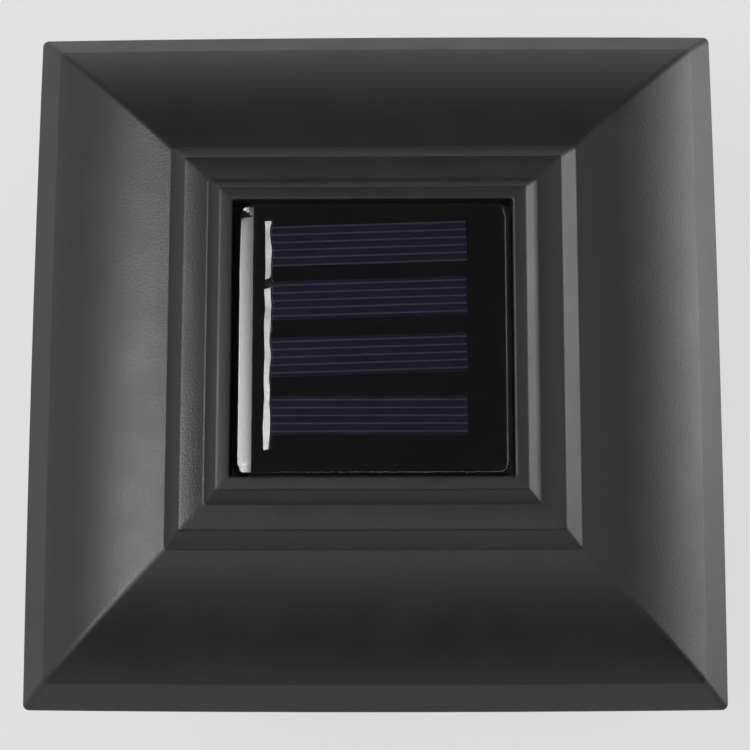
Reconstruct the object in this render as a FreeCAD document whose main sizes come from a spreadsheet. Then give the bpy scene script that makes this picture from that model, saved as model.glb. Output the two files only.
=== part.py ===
"""Solar cap light for a square deck post.

A collar with a deck sits on the post, a window frame with four frosted panes stands on the deck,
and a stepped square roof with the solar panel and the light housing lifts off the frame.
Millimetres, +Z up, the origin on the ground under the middle of the collar.
"""
import FreeCAD, Part
import math
import os
import re
import Sketcher

# Driving sizes: every value here can be changed by itself.
SIZES = {
    # the collar and deck on the post
    "post_side": 89.0,
    "post_clearance": 1.5,
    "collar_wall": 3.0,
    "socket_depth": 32.0,
    "bead_depth": 4.0,
    "bead_swell": 1.5,
    "deck_wall": 3.0,
    "deck_opening": 74.0,
    "flange_width": 13.0,
    "lip_depth": 4.0,
    "lip_wall": 3.0,
    "rib_wall": 2.0,
    "rib_spacing": 40.0,
    "fixing_hole_radius": 2.2,
    "fixing_hole_spacing": 60.0,
    "fixing_hole_height": 14.0,
    "grip_length": 40.0,
    "grip_height": 18.0,
    "grip_thickness": 1.2,
    # the window frame and its panes
    "frame_inset": 4.0,
    "frame_wall": 6.0,
    "frame_height": 29.0,
    "rail_height": 4.0,
    "corner_post": 9.0,
    "pane_thickness": 2.4,
    "pane_lap": 2.0,
    "pane_gap": 0.2,
    # self-tapping screws, large and small
    "screw_radius": 1.25,
    "screw_head_radius": 2.6,
    "screw_head_height": 1.8,
    "screw_bite": 8.0,
    "screw_play": 0.35,
    "pilot_play": 0.05,
    "pilot_depth": 10.0,
    "slot_depth": 0.9,
    "slot_width": 0.7,
    "small_screw_radius": 0.95,
    "small_head_radius": 1.8,
    "small_head_height": 1.2,
    # the square roof, from the rim up to the bezel round the panel
    "roof_side": 160.0,
    "roof_drop": 7.0,
    "roof_wall": 2.5,
    "rim_height": 7.9,
    "rim_inset": 5.6,
    "slope_rise": 14.8,
    "slope_bulge": 2.2,
    "step_inset": 3.6,
    "step_rise": 4.4,
    "shelf_width": 5.5,
    "shelf_crown": 1.2,
    "bezel_inset": 2.8,
    "bezel_rise": 3.2,
    "bezel_width": 2.9,
    "bezel_crown": 0.4,
    "recess_depth": 6.3,
    "seat_wall_inset": 1.5,
    "seat_wall": 2.5,
    "wall_end_gap": 8.0,
    "spigot_depth": 5.0,
    "spigot_wall": 2.2,
    "spigot_gap": 0.3,
    "boss_radius": 3.0,
    "cable_hole_radius": 4.0,
    "cable_inset": 3.5,
    # the solar panel
    "panel_side": 61.0,
    "panel_gap": 0.6,
    "panel_corner": 3.0,
    "sealant_thickness": 0.5,
    "sealant_inset": 1.0,
    "sealant_width": 3.0,
    "panel_board_thickness": 1.6,
    "resin_thickness": 2.2,
    "resin_edge": 0.8,
    "cell_length": 43.8,
    "cell_width": 8.8,
    "cell_thickness": 0.25,
    "cell_gap": 0.05,
    "cell_middle": -0.9,
    "cell_tilt": 1.6,
    "cell_row_1": 21.6,
    "cell_row_2": 9.2,
    "cell_row_3": -3.6,
    "cell_row_4": -17.2,
    # the light housing under the roof
    "housing_depth": 14.0,
    "housing_wall": 2.0,
    "housing_flange_side": 8.0,
    "reflector_thickness": 1.2,
    "reflector_gap": 0.3,
    "reflector_reveal": 1.0,
    "battery_length": 50.5,
    "battery_radius": 7.25,
    "battery_pole_radius": 2.75,
    "battery_pole_height": 1.0,
    "battery_play": 0.35,
    "bay_wall": 1.8,
    "bay_ceiling": 1.5,
    "bay_end_room": 5.7,
    "bay_side_room": 15.6,
    "contact_room": 3.25,
    "contact_strip": 0.4,
    "contact_touch": 0.1,
    "contact_width": 7.0,
    "contact_tail": 3.0,
    "contact_reach": 5.6,
    "contact_nose": 0.6,
    "tail_stub": 1.0,
    # the circuit board and what is on it
    "board_gap": 0.7,
    "board_thickness": 1.6,
    "board_margin": 0.85,
    "board_screw_inset_x": 3.5,
    "board_screw_inset_y": 4.5,
    "standoff_radius": 2.5,
    "led_radius": 2.5,
    "led_barrel": 5.1,
    "led_flange_radius": 2.9,
    "led_flange": 1.0,
    "led_drop": 8.0,
    "led_play": 0.1,
    "led_lead": 0.5,
    "led_lead_pitch": 2.54,
    "led_lead_bend": 1.6,
    "lead_hole_radius": 0.45,
    "panel_lead_radius": 0.5,
    "panel_lead_pitch": 3.0,
    "panel_pad_pitch": 8.0,
    "lead_drop": 4.6,
    # the slide switch
    "switch_x": 18.0,
    "switch_y": 18.0,
    "switch_length": 12.0,
    "switch_width": 6.0,
    "switch_height": 6.0,
    "knob_side": 3.0,
    "knob_travel": 3.0,
    "knob_play": 0.3,
    "knob_out": 2.1,
    "knob_in": 1.4,
    "switch_lead_radius": 0.5,
    "switch_lead_pitch": 2.5,
    # the battery door and its hinge
    "door_lap": 3.5,
    "door_margin": 2.2,
    "door_wall": 1.6,
    "door_gap": 0.3,
    "hinge_back": 5.4,
    "barrel_radius": 1.7,
    "pin_radius": 1.0,
    "pin_play": 0.05,
    "lug_width": 3.0,
    "saddle_spacing": 30.0,
    "saddle_wall": 1.5,
    "saddle_margin": 0.6,
    "tongue_width": 8.0,
    "tongue_wall": 1.2,
    "tongue_height": 3.0,
    "tongue_swing": 0.8,
    "finger_lip": 2.0,
}

# Shared formulas: the places and sizes where pieces meet, worked out from the driving sizes.
SOCKET = "(post_side+2*post_clearance)"
COLLAR = "(post_side+2*post_clearance+2*collar_wall)"
FLANGE = "(post_side+2*post_clearance+2*collar_wall+2*flange_width)"
DECK_TOP = "(socket_depth+deck_wall)"
FRAME = "(" + FLANGE + "-2*frame_inset)"
FRAME_INSIDE = "(" + FRAME + "-2*frame_wall)"
FRAME_TOP = "(" + DECK_TOP + "+frame_height)"
FRAME_SCREW = "(" + FRAME + "/2-frame_wall/2)"
WINDOW = "(" + FRAME + "-2*corner_post)"
WINDOW_MIDDLE = "(" + DECK_TOP + "+frame_height/2)"
PANE_POCKET = "(pane_thickness+pane_gap)"
RIM = "(" + FRAME_TOP + "-roof_drop)"
RIM_TOP = "(" + RIM + "+rim_height)"
SLOPE_TOP = "(" + RIM_TOP + "+slope_rise)"
STEP_TOP = "(" + SLOPE_TOP + "+step_rise)"
SHELF_TOP = "(" + STEP_TOP + "+shelf_crown)"
BEZEL_EDGE = "(" + SHELF_TOP + "+bezel_rise)"
ROOF_TOP = "(" + BEZEL_EDGE + "+bezel_crown)"
RECESS = "(panel_side+2*panel_gap)"
RECESS_FLOOR = "(" + ROOF_TOP + "-recess_depth)"
BEZEL_OUT = "(" + RECESS + "/2+bezel_width)"
SHELF_IN = "(" + BEZEL_OUT + "+bezel_inset)"
SHELF_OUT = "(" + SHELF_IN + "+shelf_width)"
STEP_OUT = "(" + SHELF_OUT + "+step_inset)"
PANEL_BOARD = "(" + RECESS_FLOOR + "+sealant_thickness)"
CELLS = "(" + PANEL_BOARD + "+panel_board_thickness)"
SPIGOT = "(" + FRAME_INSIDE + "-2*spigot_gap)"
SPIGOT_INSIDE = "(" + SPIGOT + "-2*spigot_wall)"
HOUSING_FLOOR = "(" + FRAME_TOP + "-housing_depth)"
HOUSING_DECK = "(" + HOUSING_FLOOR + "+housing_wall)"
BAY_LENGTH = "(battery_length+2*contact_room)"
BAY_WIDTH = "(2*battery_radius+2*battery_play)"
HOUSING_INNER_X = "(" + BAY_LENGTH + "/2+bay_wall+bay_end_room)"
HOUSING_INNER_Y = "(" + BAY_WIDTH + "/2+bay_wall+bay_side_room)"
HOUSING_LENGTH = "(2*" + HOUSING_INNER_X + "+2*housing_wall)"
HOUSING_WIDTH = "(2*" + HOUSING_INNER_Y + "+2*housing_wall)"
BOSS_END = "(" + FRAME_TOP + "+reflector_thickness)"
BATTERY_AXIS = "(" + HOUSING_DECK + "+door_gap+battery_radius)"
BAY_ROOF = "(" + BATTERY_AXIS + "+battery_radius+battery_play)"
BAY_TOP = "(" + BAY_ROOF + "+bay_ceiling)"
BOARD = "(" + BAY_TOP + "+board_gap)"
BOARD_TOP = "(" + BOARD + "+board_thickness)"
LED_AXIS = "(" + FRAME_TOP + "-led_drop)"
LED_LEAD_X = "(" + HOUSING_INNER_X + "-led_flange-led_lead_bend+led_lead/2)"
LED_LEAD_Y = "(" + HOUSING_INNER_Y + "-led_flange-led_lead_bend+led_lead/2)"
BOARD_LENGTH = "(2*" + LED_LEAD_X + "+2*board_margin)"
BOARD_WIDTH = "(2*" + LED_LEAD_Y + "+2*board_margin)"
BOARD_SCREWS = (
    "(" + BOARD_LENGTH + "/2-board_screw_inset_x)",
    "(" + BOARD_WIDTH + "/2-board_screw_inset_y)",
)
HOUSING_SCREWS = (
    "(" + HOUSING_LENGTH + "/2+housing_flange_side/2)",
    "(" + HOUSING_WIDTH + "/2+housing_flange_side/2)",
)
CABLE_Y = "(" + BOARD_WIDTH + "/2-cable_inset)"
TAIL_X = "(" + BAY_LENGTH + "/2-contact_strip/2)"
HINGE_Y = "(-" + BAY_WIDTH + "/2-hinge_back)"
DOOR_TOP = "(" + HOUSING_FLOOR + "-door_gap)"
HINGE_Z = "(" + DOOR_TOP + "-barrel_radius)"
DOOR_LENGTH = "(" + BAY_LENGTH + "+2*door_lap)"
BARREL = "(" + DOOR_LENGTH + "-2*lug_width-2*door_gap)"
DOOR_REAR = "(" + HINGE_Y + "+barrel_radius+2*door_gap)"
DOOR_FRONT = "(" + BAY_WIDTH + "/2+bay_wall+door_margin)"
CELL_ROWS = ["cell_row_1", "cell_row_2", "cell_row_3", "cell_row_4"]
CORNERS = [(1, 1), (-1, 1), (-1, -1), (1, -1)]

doc = FreeCAD.newDocument("PostCapLight")
sheet = doc.addObject("Spreadsheet::Sheet", "Sizes")
for row, (alias, value) in enumerate(SIZES.items(), start=1):
    sheet.set("A%d" % row, alias.replace("_", " "))
    sheet.set("B%d" % row, str(value))
    sheet.setAlias("B%d" % row, alias)
doc.recompute()


def formula(text):
    """Write the sheet's name in front of each of its aliases."""
    return re.sub(r"[a-z]\w*", lambda word: "Sizes." + word[0] if word[0] in SIZES else word[0], text)


def number(text):
    """The value of a formula in millimetres."""
    return float(sheet.evalExpression(formula(text)))


def bind(thing, field, text):
    thing.setExpression(field, formula(text))


# Sketches

def sketch(body, plane="XY_Plane", lift="0"):
    """A sketch on one of the body's own origin planes, moved along that plane's normal."""
    flat = body.newObject("Sketcher::SketchObject", body.Label + "_sketch")
    origin_plane = next(f for f in body.Origin.OriginFeatures if f.Role == plane)
    flat.AttachmentSupport = [(origin_plane, "")]
    flat.MapMode = "FlatFace"
    bind(flat, "AttachmentOffset.Base.z", lift)
    return flat


def measure(flat, kind, *where, text):
    """A dimension that follows the sheet."""
    index = flat.addConstraint(Sketcher.Constraint(kind, *where, number(text)))
    bind(flat, "Constraints[%d]" % index, text)


def outline(flat, points):
    """A closed outline through (x, y) or (x, y, bulge) formulas; a bulge bends the edge that follows."""
    spots = [FreeCAD.Vector(number(p[0]), number(p[1]), 0) for p in points]
    first = flat.GeometryCount
    ends = []
    for i, point in enumerate(points):
        start = spots[i]
        stop = spots[(i + 1) % len(points)]
        if len(point) == 2:
            flat.addGeometry(Part.LineSegment(start, stop), False)
        else:
            run = stop - start
            outward = FreeCAD.Vector(run.y, -run.x, 0).normalize()
            middle = (start + stop) * 0.5 + outward * number(point[2])
            flat.addGeometry(Part.Arc(start, middle, stop), False)
        turned = (flat.Geometry[first + i].StartPoint - start).Length > 1e-6
        ends.append((2, 1) if turned else (1, 2))
    for i, point in enumerate(points):
        j = (i + 1) % len(points)
        meet = Sketcher.Constraint("Coincident", first + i, ends[i][1], first + j, ends[j][0])
        flat.addConstraint(meet)
        measure(flat, "DistanceX", -1, 1, first + i, ends[i][0], text=point[0])
        measure(flat, "DistanceY", -1, 1, first + i, ends[i][0], text=point[1])
        if len(point) == 3:
            across = "(%s)-(%s)" % (points[j][0], point[0])
            up = "(%s)-(%s)" % (points[j][1], point[1])
            radius = "((%s)^2+(%s)^2)/(8*%s)+%s/2" % (across, up, point[2], point[2])
            measure(flat, "Radius", first + i, text=radius)
    return flat


def rectangle(flat, width, depth, x="0", y="0"):
    """A rectangle round the point (x, y)."""
    left = "(%s)-(%s)/2" % (x, width)
    right = "(%s)+(%s)/2" % (x, width)
    low = "(%s)-(%s)/2" % (y, depth)
    high = "(%s)+(%s)/2" % (y, depth)
    return outline(flat, [(left, low), (right, low), (right, high), (left, high)])


def disc(flat, radius, x="0", y="0"):
    """A circle round the point (x, y)."""
    middle = FreeCAD.Vector(number(x), number(y), 0)
    index = flat.addGeometry(Part.Circle(middle, FreeCAD.Vector(0, 0, 1), number(radius)), False)
    measure(flat, "Radius", index, text=radius)
    measure(flat, "DistanceX", -1, 1, index, 3, text=x)
    measure(flat, "DistanceY", -1, 1, index, 3, text=y)
    return flat


def four_discs(flat, radius, x, y):
    for side_x, side_y in CORNERS:
        disc(flat, radius, "%d*(%s)" % (side_x, x), "%d*(%s)" % (side_y, y))
    return flat


# Features

def part_body(label):
    return doc.addObject("PartDesign::Body", label)


def pad(flat, length, both=False, back=False):
    feature = flat.getParentGeoFeatureGroup().newObject("PartDesign::Pad", "Pad")
    feature.Profile = flat
    bind(feature, "Length", length)
    feature.Midplane = both
    feature.Reversed = back
    return feature


def pocket(flat, depth, both=False, along=False):
    """Cut against the sketch's normal, along it, or half of the depth each way."""
    feature = flat.getParentGeoFeatureGroup().newObject("PartDesign::Pocket", "Pocket")
    feature.Profile = flat
    bind(feature, "Length", depth)
    feature.Midplane = both
    feature.Reversed = along
    return feature


def revolve(flat):
    feature = flat.getParentGeoFeatureGroup().newObject("PartDesign::Revolution", "Revolution")
    feature.Profile = flat
    feature.ReferenceAxis = (flat, ["V_Axis"])
    feature.Angle = 360
    return feature


def on_four_sides(feature):
    """Repeat a feature on all four sides of the square."""
    body = feature.getParentGeoFeatureGroup()
    doc.recompute()
    pattern = body.newObject("PartDesign::PolarPattern", "FourSides")
    pattern.Originals = [feature]
    upright = next(f for f in body.Origin.OriginFeatures if f.Role == "Z_Axis")
    pattern.Axis = (upright, [""])
    pattern.Angle = 360
    pattern.Occurrences = 4
    body.Tip = pattern
    return pattern


def round_edges(body, radius, wanted):
    """Round the edges of the body's last feature that the test picks."""
    doc.recompute()
    last = body.Tip
    names = ["Edge%d" % i for i, edge in enumerate(last.Shape.Edges, start=1) if wanted(edge)]
    feature = body.newObject("PartDesign::Fillet", "Fillet")
    feature.Base = (last, names)
    bind(feature, "Radius", radius)
    body.Tip = feature
    return feature


def is_upright(edge):
    box = edge.BoundBox
    return box.XLength + box.YLength < 1e-6


def fuse(label, pieces):
    result = doc.addObject("Part::MultiFuse", label)
    result.Shapes = pieces
    return result


def overlap(label, pieces):
    result = doc.addObject("Part::MultiCommon", label)
    result.Shapes = pieces
    return result


def cut(label, base, tool):
    result = doc.addObject("Part::Cut", label)
    result.Base = base
    result.Tool = tool
    return result


# The base: collar, deck and window frame

def post_base():
    """Collar over the post, with a deck for the frame and a drip lip round it."""
    base = part_body("post_base")
    lip_low = "socket_depth-lip_depth"
    trough = "(flange_width-lip_wall)"
    pad(rectangle(sketch(base), COLLAR, COLLAR), "socket_depth")
    bead = COLLAR + "+2*bead_swell"
    pad(rectangle(sketch(base), bead, bead), "bead_depth")
    pad(rectangle(sketch(base, lift=lip_low), FLANGE, FLANGE), "lip_depth+deck_wall")
    hollow = sketch(base, lift=lip_low)
    rectangle(hollow, COLLAR + "+2*" + trough, COLLAR + "+2*" + trough)
    rectangle(hollow, COLLAR, COLLAR)
    pocket(hollow, "lip_depth", along=True)
    ribs = sketch(base, lift=lip_low)
    for side in (1, -1):
        rectangle(ribs, trough, "rib_wall", COLLAR + "/2+" + trough + "/2", "%d*rib_spacing/2" % side)
    on_four_sides(pad(ribs, "lip_depth"))
    pocket(rectangle(sketch(base), SOCKET, SOCKET), "socket_depth", along=True)
    opening = rectangle(sketch(base, lift="socket_depth"), "deck_opening", "deck_opening")
    pocket(opening, "deck_wall", along=True)
    screw_holes = sketch(base, lift="socket_depth")
    four_discs(screw_holes, "screw_radius+screw_play", FRAME_SCREW, FRAME_SCREW)
    pocket(screw_holes, "deck_wall", along=True)
    fixings = sketch(base, "YZ_Plane")
    for side in (1, -1):
        disc(fixings, "fixing_hole_radius", "%d*fixing_hole_spacing/2" % side, "fixing_hole_height")
    pocket(fixings, COLLAR + "*2", both=True)
    return base


def grip_pads():
    """Rubber pads that take up the play between the collar and the post."""
    pads = part_body("grip_pads")
    middle = SOCKET + "/2-grip_thickness/2"
    one = rectangle(sketch(pads, lift="bead_depth*2"), "grip_thickness", "grip_length", middle)
    on_four_sides(pad(one, "grip_height"))
    return pads


def window_frame():
    """Square frame with a window and a pane rebate in each wall."""
    frame = part_body("window_frame")
    pad(rectangle(sketch(frame, lift=DECK_TOP), FRAME, FRAME), "frame_height")
    pocket(rectangle(sketch(frame, lift=DECK_TOP), FRAME_INSIDE, FRAME_INSIDE), "frame_height", along=True)
    for plane in ("YZ_Plane", "XZ_Plane"):
        window = rectangle(sketch(frame, plane), WINDOW, "frame_height-2*rail_height", y=WINDOW_MIDDLE)
        pocket(window, FRAME + "*2", both=True)
    rebate = sketch(frame, "YZ_Plane", FRAME_INSIDE + "/2")
    rebate_height = "frame_height-2*rail_height+2*pane_lap"
    rectangle(rebate, WINDOW + "+2*pane_lap", rebate_height, y=WINDOW_MIDDLE)
    on_four_sides(pocket(rebate, PANE_POCKET, along=True))
    pilots = four_discs(sketch(frame, lift=DECK_TOP), "screw_radius+pilot_play", FRAME_SCREW, FRAME_SCREW)
    pocket(pilots, "pilot_depth", along=True)
    return frame


def pane(label, turn):
    """Frosted pane against the back of its rebate."""
    plate = part_body(label)
    height = "frame_height-2*rail_height+2*pane_lap-2*pane_gap"
    low = WINDOW_MIDDLE + "-(" + height + ")/2"
    middle = FRAME_INSIDE + "/2+pane_gap+pane_thickness/2"
    face = sketch(plate, lift=low)
    rectangle(face, "pane_thickness", WINDOW + "+2*pane_lap-2*pane_gap", middle)
    pad(face, height)
    plate.Placement = FreeCAD.Placement(FreeCAD.Vector(), FreeCAD.Rotation(turn, 0, 0))
    return plate


def screws(label, place, radii, heights, head_low, shank_low, slot_low):
    """Four slotted screws at the corners of a rectangle."""
    group = part_body(label)
    pad(four_discs(sketch(group, lift=head_low), radii[0], *place), heights[0])
    pad(four_discs(sketch(group, lift=shank_low), radii[1], *place), heights[1])
    slots = sketch(group, lift=slot_low)
    for side_x, side_y in CORNERS:
        corner = ("%d*%s" % (side_x, place[0]), "%d*%s" % (side_y, place[1]))
        rectangle(slots, radii[0] + "*4", "slot_width", *corner)
    pocket(slots, "slot_depth", along=True)
    return group


def frame_screws():
    """Screws from under the deck into the frame's corners."""
    head_low = "socket_depth-screw_head_height"
    radii = ("screw_head_radius", "screw_radius")
    heights = ("screw_head_height", "deck_wall+screw_bite")
    place = (FRAME_SCREW, FRAME_SCREW)
    return screws("frame_screws", place, radii, heights, head_low, "socket_depth", head_low)


# The roof

def square_dome(label, right_side):
    """The overlap of one outline drawn out along Y and along X, so all four sides are alike."""
    mirrored = [("-(%s)" % x, z) for x, z, *bulge in reversed(right_side)]
    for i, point in enumerate(reversed(right_side[:-1])):
        if len(point) == 3:
            mirrored[i] = mirrored[i] + (point[2],)
    halves = []
    for plane in ("XZ_Plane", "YZ_Plane"):
        half = part_body(label + "_" + plane[:2].lower())
        pad(outline(sketch(half, plane), right_side + mirrored), "2*" + right_side[0][0], both=True)
        halves.append(half)
    return overlap(label, halves)


def square_ring(label, side, wall, low, high):
    """An upright wall round a square."""
    ring = part_body(label)
    flat = sketch(ring, lift=low)
    rectangle(flat, side, side)
    rectangle(flat, side + "-2*" + wall, side + "-2*" + wall)
    pad(flat, "(%s)-(%s)" % (high, low))
    return ring


def four_walls(label, side, wall, low, high):
    """An upright wall along each side of a square, stopping short of its corners."""
    walls = part_body(label)
    length = "%s-2*wall_end_gap" % side
    flat = rectangle(sketch(walls, lift=low), wall, length, "%s/2-%s/2" % (side, wall))
    on_four_sides(pad(flat, "(%s)-(%s)" % (high, low)))
    return walls


def roof_shell():
    """Moulded roof: rim, bulging slopes, two steps and a bezel round the panel's recess."""
    outer = [
        ("(roof_side/2)", RIM),
        ("(roof_side/2-rim_inset)", RIM_TOP, "slope_bulge"),
        (STEP_OUT, SLOPE_TOP),
        (SHELF_OUT, STEP_TOP),
        (SHELF_IN, SHELF_TOP),
        (BEZEL_OUT, BEZEL_EDGE),
        (RECESS + "/2", ROOF_TOP),
    ]
    form = square_dome("roof_form", outer)
    cavity = square_dome("roof_cavity", roof_underside("roof_wall", RIM + "-roof_wall"))
    shell = cut("roof_skin", form, cavity)
    tub = part_body("recess_tub")
    tub_side = RECESS + "+2*roof_wall"
    tub_low = "(" + RECESS_FLOOR + "-roof_wall)"
    pad(rectangle(sketch(tub, lift=tub_low), tub_side, tub_side), SHELF_TOP + "-" + tub_low)
    seat_side = "(" + FRAME + "-2*seat_wall_inset)"
    seat = four_walls("seat_walls", seat_side, "seat_wall", FRAME_TOP, SHELF_TOP)
    spigot = four_walls("spigot", SPIGOT, "spigot_wall", FRAME_TOP + "-spigot_depth", SHELF_TOP)
    bosses = part_body("bosses")
    pad(four_discs(sketch(bosses, lift=BOSS_END), "boss_radius", *HOUSING_SCREWS), SHELF_TOP + "-" + BOSS_END)
    fittings = fuse("roof_fittings", [tub, seat, spigot, bosses])
    mid_wall = square_dome("mid_wall", roof_underside("roof_wall/2", HOUSING_FLOOR))
    trimmed = overlap("trimmed_fittings", [fittings, mid_wall])
    solid = fuse("roof_solid", [shell, trimmed])
    cuts = part_body("roof_cuts")
    pad(rectangle(sketch(cuts, lift=RECESS_FLOOR), RECESS, RECESS), "recess_depth*2")
    cable = disc(sketch(cuts, lift=RECESS_FLOOR), "cable_hole_radius", y=CABLE_Y)
    pad(cable, "roof_wall*2", back=True)
    pilots = four_discs(sketch(cuts, lift=BOSS_END), "screw_radius+pilot_play", *HOUSING_SCREWS)
    pad(pilots, "pilot_depth")
    return cut("roof_shell", solid, cuts)


def roof_underside(depth, foot):
    """The right side of a form that lies the given depth inside the roof's skin, down to its foot."""
    return [
        ("(roof_side/2-%s)" % depth, foot),
        ("(roof_side/2-%s)" % depth, RIM),
        ("(roof_side/2-rim_inset-%s)" % depth, RIM_TOP + "-%s/2" % depth, "slope_bulge"),
        (STEP_OUT + "-%s/2" % depth, SLOPE_TOP + "-" + depth),
        (SHELF_OUT + "-%s/2" % depth, STEP_TOP + "-" + depth),
        (SHELF_IN + "-%s/2" % depth, SHELF_TOP + "-" + depth),
    ]


# The solar panel

def panel_sealant():
    """Bead of sealant between the panel and the recess floor."""
    side = "(panel_side-2*sealant_inset)"
    return square_ring("panel_sealant", side, "sealant_width", RECESS_FLOOR, PANEL_BOARD)


def panel_board():
    board = part_body("panel_board")
    pad(rectangle(sketch(board, lift=PANEL_BOARD), "panel_side", "panel_side"), "panel_board_thickness")
    round_edges(board, "panel_corner", is_upright)
    return board


def cell_outlines(flat, grow):
    """The four hand-laid cells: the last lies square, the others are tilted alike."""
    for row in CELL_ROWS:
        tilt = "0" if row == CELL_ROWS[-1] else "cell_tilt"
        corners = []
        for side_x, side_y in ((-1, -1), (1, -1), (1, 1), (-1, 1)):
            along = "%d*(cell_length/2+%s)" % (side_x, grow)
            across = "%d*(cell_width/2+%s)" % (side_y, grow)
            x = "cell_middle+%s*cos(%s)-%s*sin(%s)" % (along, tilt, across, tilt)
            y = "%s+%s*sin(%s)+%s*cos(%s)" % (row, along, tilt, across, tilt)
            corners.append((x, y))
        outline(flat, corners)
    return flat


def solar_cells():
    cells = part_body("solar_cells")
    pad(cell_outlines(sketch(cells, lift=CELLS), "0"), "cell_thickness")
    return cells


def panel_resin():
    """Clear resin cast over the cells, rounded at its top edge."""
    resin = part_body("panel_resin")
    pad(rectangle(sketch(resin, lift=CELLS), "panel_side", "panel_side"), "resin_thickness")
    round_edges(resin, "panel_corner", is_upright)
    top = number(CELLS + "+resin_thickness") - 1e-6
    round_edges(resin, "resin_edge", lambda edge: edge.BoundBox.ZMin > top)
    pocket(cell_outlines(sketch(resin, lift=CELLS), "cell_gap"), "cell_thickness+cell_gap", along=True)
    return resin


# The light housing and the electrics

def light_housing():
    """Open box under the roof, with the battery bay, board standoffs, LED holes and hinge lugs."""
    housing = part_body("light_housing")
    box_height = "housing_depth-housing_wall"
    pad(rectangle(sketch(housing, lift=HOUSING_FLOOR), HOUSING_LENGTH, HOUSING_WIDTH), box_height)
    flange_x = HOUSING_LENGTH + "+2*housing_flange_side"
    flange_y = HOUSING_WIDTH + "+2*housing_flange_side"
    flange_low = FRAME_TOP + "-housing_wall"
    pad(rectangle(sketch(housing, lift=flange_low), flange_x, flange_y), "housing_wall")
    inside = rectangle(sketch(housing, lift=HOUSING_DECK), "2*" + HOUSING_INNER_X, "2*" + HOUSING_INNER_Y)
    pocket(inside, "housing_depth", along=True)
    bay = sketch(housing, lift=HOUSING_DECK)
    rectangle(bay, BAY_LENGTH + "+2*bay_wall", BAY_WIDTH + "+2*bay_wall")
    pad(bay, BAY_TOP + "-" + HOUSING_DECK)
    standoffs = sketch(housing, lift=HOUSING_DECK)
    four_discs(standoffs, "standoff_radius", *BOARD_SCREWS)
    pad(standoffs, BOARD + "-" + HOUSING_DECK)
    hinge_lugs(housing)
    bay_inside = rectangle(sketch(housing, lift=HOUSING_FLOOR), BAY_LENGTH, BAY_WIDTH)
    pocket(bay_inside, BAY_ROOF + "-" + HOUSING_FLOOR, along=True)
    tails = sketch(housing, lift=BAY_ROOF)
    for side in (1, -1):
        slot_x = "%d*(%s-contact_strip*1.5)" % (side, TAIL_X)
        rectangle(tails, "contact_strip*4", "contact_tail+2*door_gap", slot_x)
    pocket(tails, "bay_ceiling*2", along=True)
    for plane, across in (("YZ_Plane", HOUSING_LENGTH), ("XZ_Plane", HOUSING_WIDTH)):
        for side in (1, -1):
            wall_middle = "%d*(%s/2-housing_wall/2)" % (side, across)
            led_hole = disc(sketch(housing, plane, wall_middle), "led_radius+led_play", y=LED_AXIS)
            pocket(led_hole, "housing_wall*1.5", both=True)
    flange_holes = sketch(housing, lift=flange_low)
    four_discs(flange_holes, "screw_radius+screw_play", *HOUSING_SCREWS)
    pocket(flange_holes, "housing_wall", along=True)
    board_pilots = sketch(housing, lift=BOARD)
    four_discs(board_pilots, "small_screw_radius+pilot_play", *BOARD_SCREWS)
    pocket(board_pilots, "pilot_depth")
    slot = rectangle(sketch(housing, lift=HOUSING_FLOOR), "knob_side+knob_travel+2*knob_play",
                     "knob_side+2*knob_play", "switch_x", "switch_y")
    pocket(slot, "housing_wall", along=True)
    tongue_y = DOOR_FRONT + "-tongue_wall/2"
    catch = rectangle(sketch(housing, lift=HOUSING_FLOOR), "tongue_width+2*door_gap",
                      "tongue_wall+2*tongue_swing", "0", tongue_y)
    pocket(catch, "housing_wall", along=True)
    return housing


def hinge_lugs(housing):
    """Two lugs under the floor, rounded round the door's pin."""
    lug_x = "(" + BARREL + "/2+door_gap+lug_width/2)"
    for side in (1, -1):
        middle = "%d*%s" % (side, lug_x)
        lug = disc(sketch(housing, "YZ_Plane", middle), "barrel_radius", HINGE_Y, HINGE_Z)
        pad(lug, "lug_width", both=True)
        web_height = "barrel_radius+door_gap"
        web = rectangle(sketch(housing, "YZ_Plane", middle), "2*barrel_radius", web_height,
                        HINGE_Y, HINGE_Z + "+(" + web_height + ")/2")
        pad(web, "lug_width", both=True)
        bore = disc(sketch(housing, "YZ_Plane", middle), "pin_radius+pin_play", HINGE_Y, HINGE_Z)
        pocket(bore, "lug_width*2", both=True)


def housing_screws():
    """Screws up through the housing flange and the reflector into the roof's bosses."""
    head_top = FRAME_TOP + "-housing_wall"
    head_low = head_top + "-screw_head_height"
    radii = ("screw_head_radius", "screw_radius")
    heights = ("screw_head_height", "housing_wall+reflector_thickness+screw_bite")
    return screws("housing_screws", HOUSING_SCREWS, radii, heights, head_low, head_top, head_low)


def reflector_plate():
    """White plate round the housing that throws the light down and out."""
    plate = part_body("reflector_plate")
    side = SPIGOT_INSIDE + "-2*reflector_gap"
    face = sketch(plate, lift=FRAME_TOP)
    rectangle(face, side, side)
    inner_x = "2*(" + HOUSING_INNER_X + "+reflector_reveal)"
    inner_y = "2*(" + HOUSING_INNER_Y + "+reflector_reveal)"
    rectangle(face, inner_x, inner_y)
    four_discs(face, "screw_radius+screw_play", *HOUSING_SCREWS)
    pad(face, "reflector_thickness")
    return plate


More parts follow.
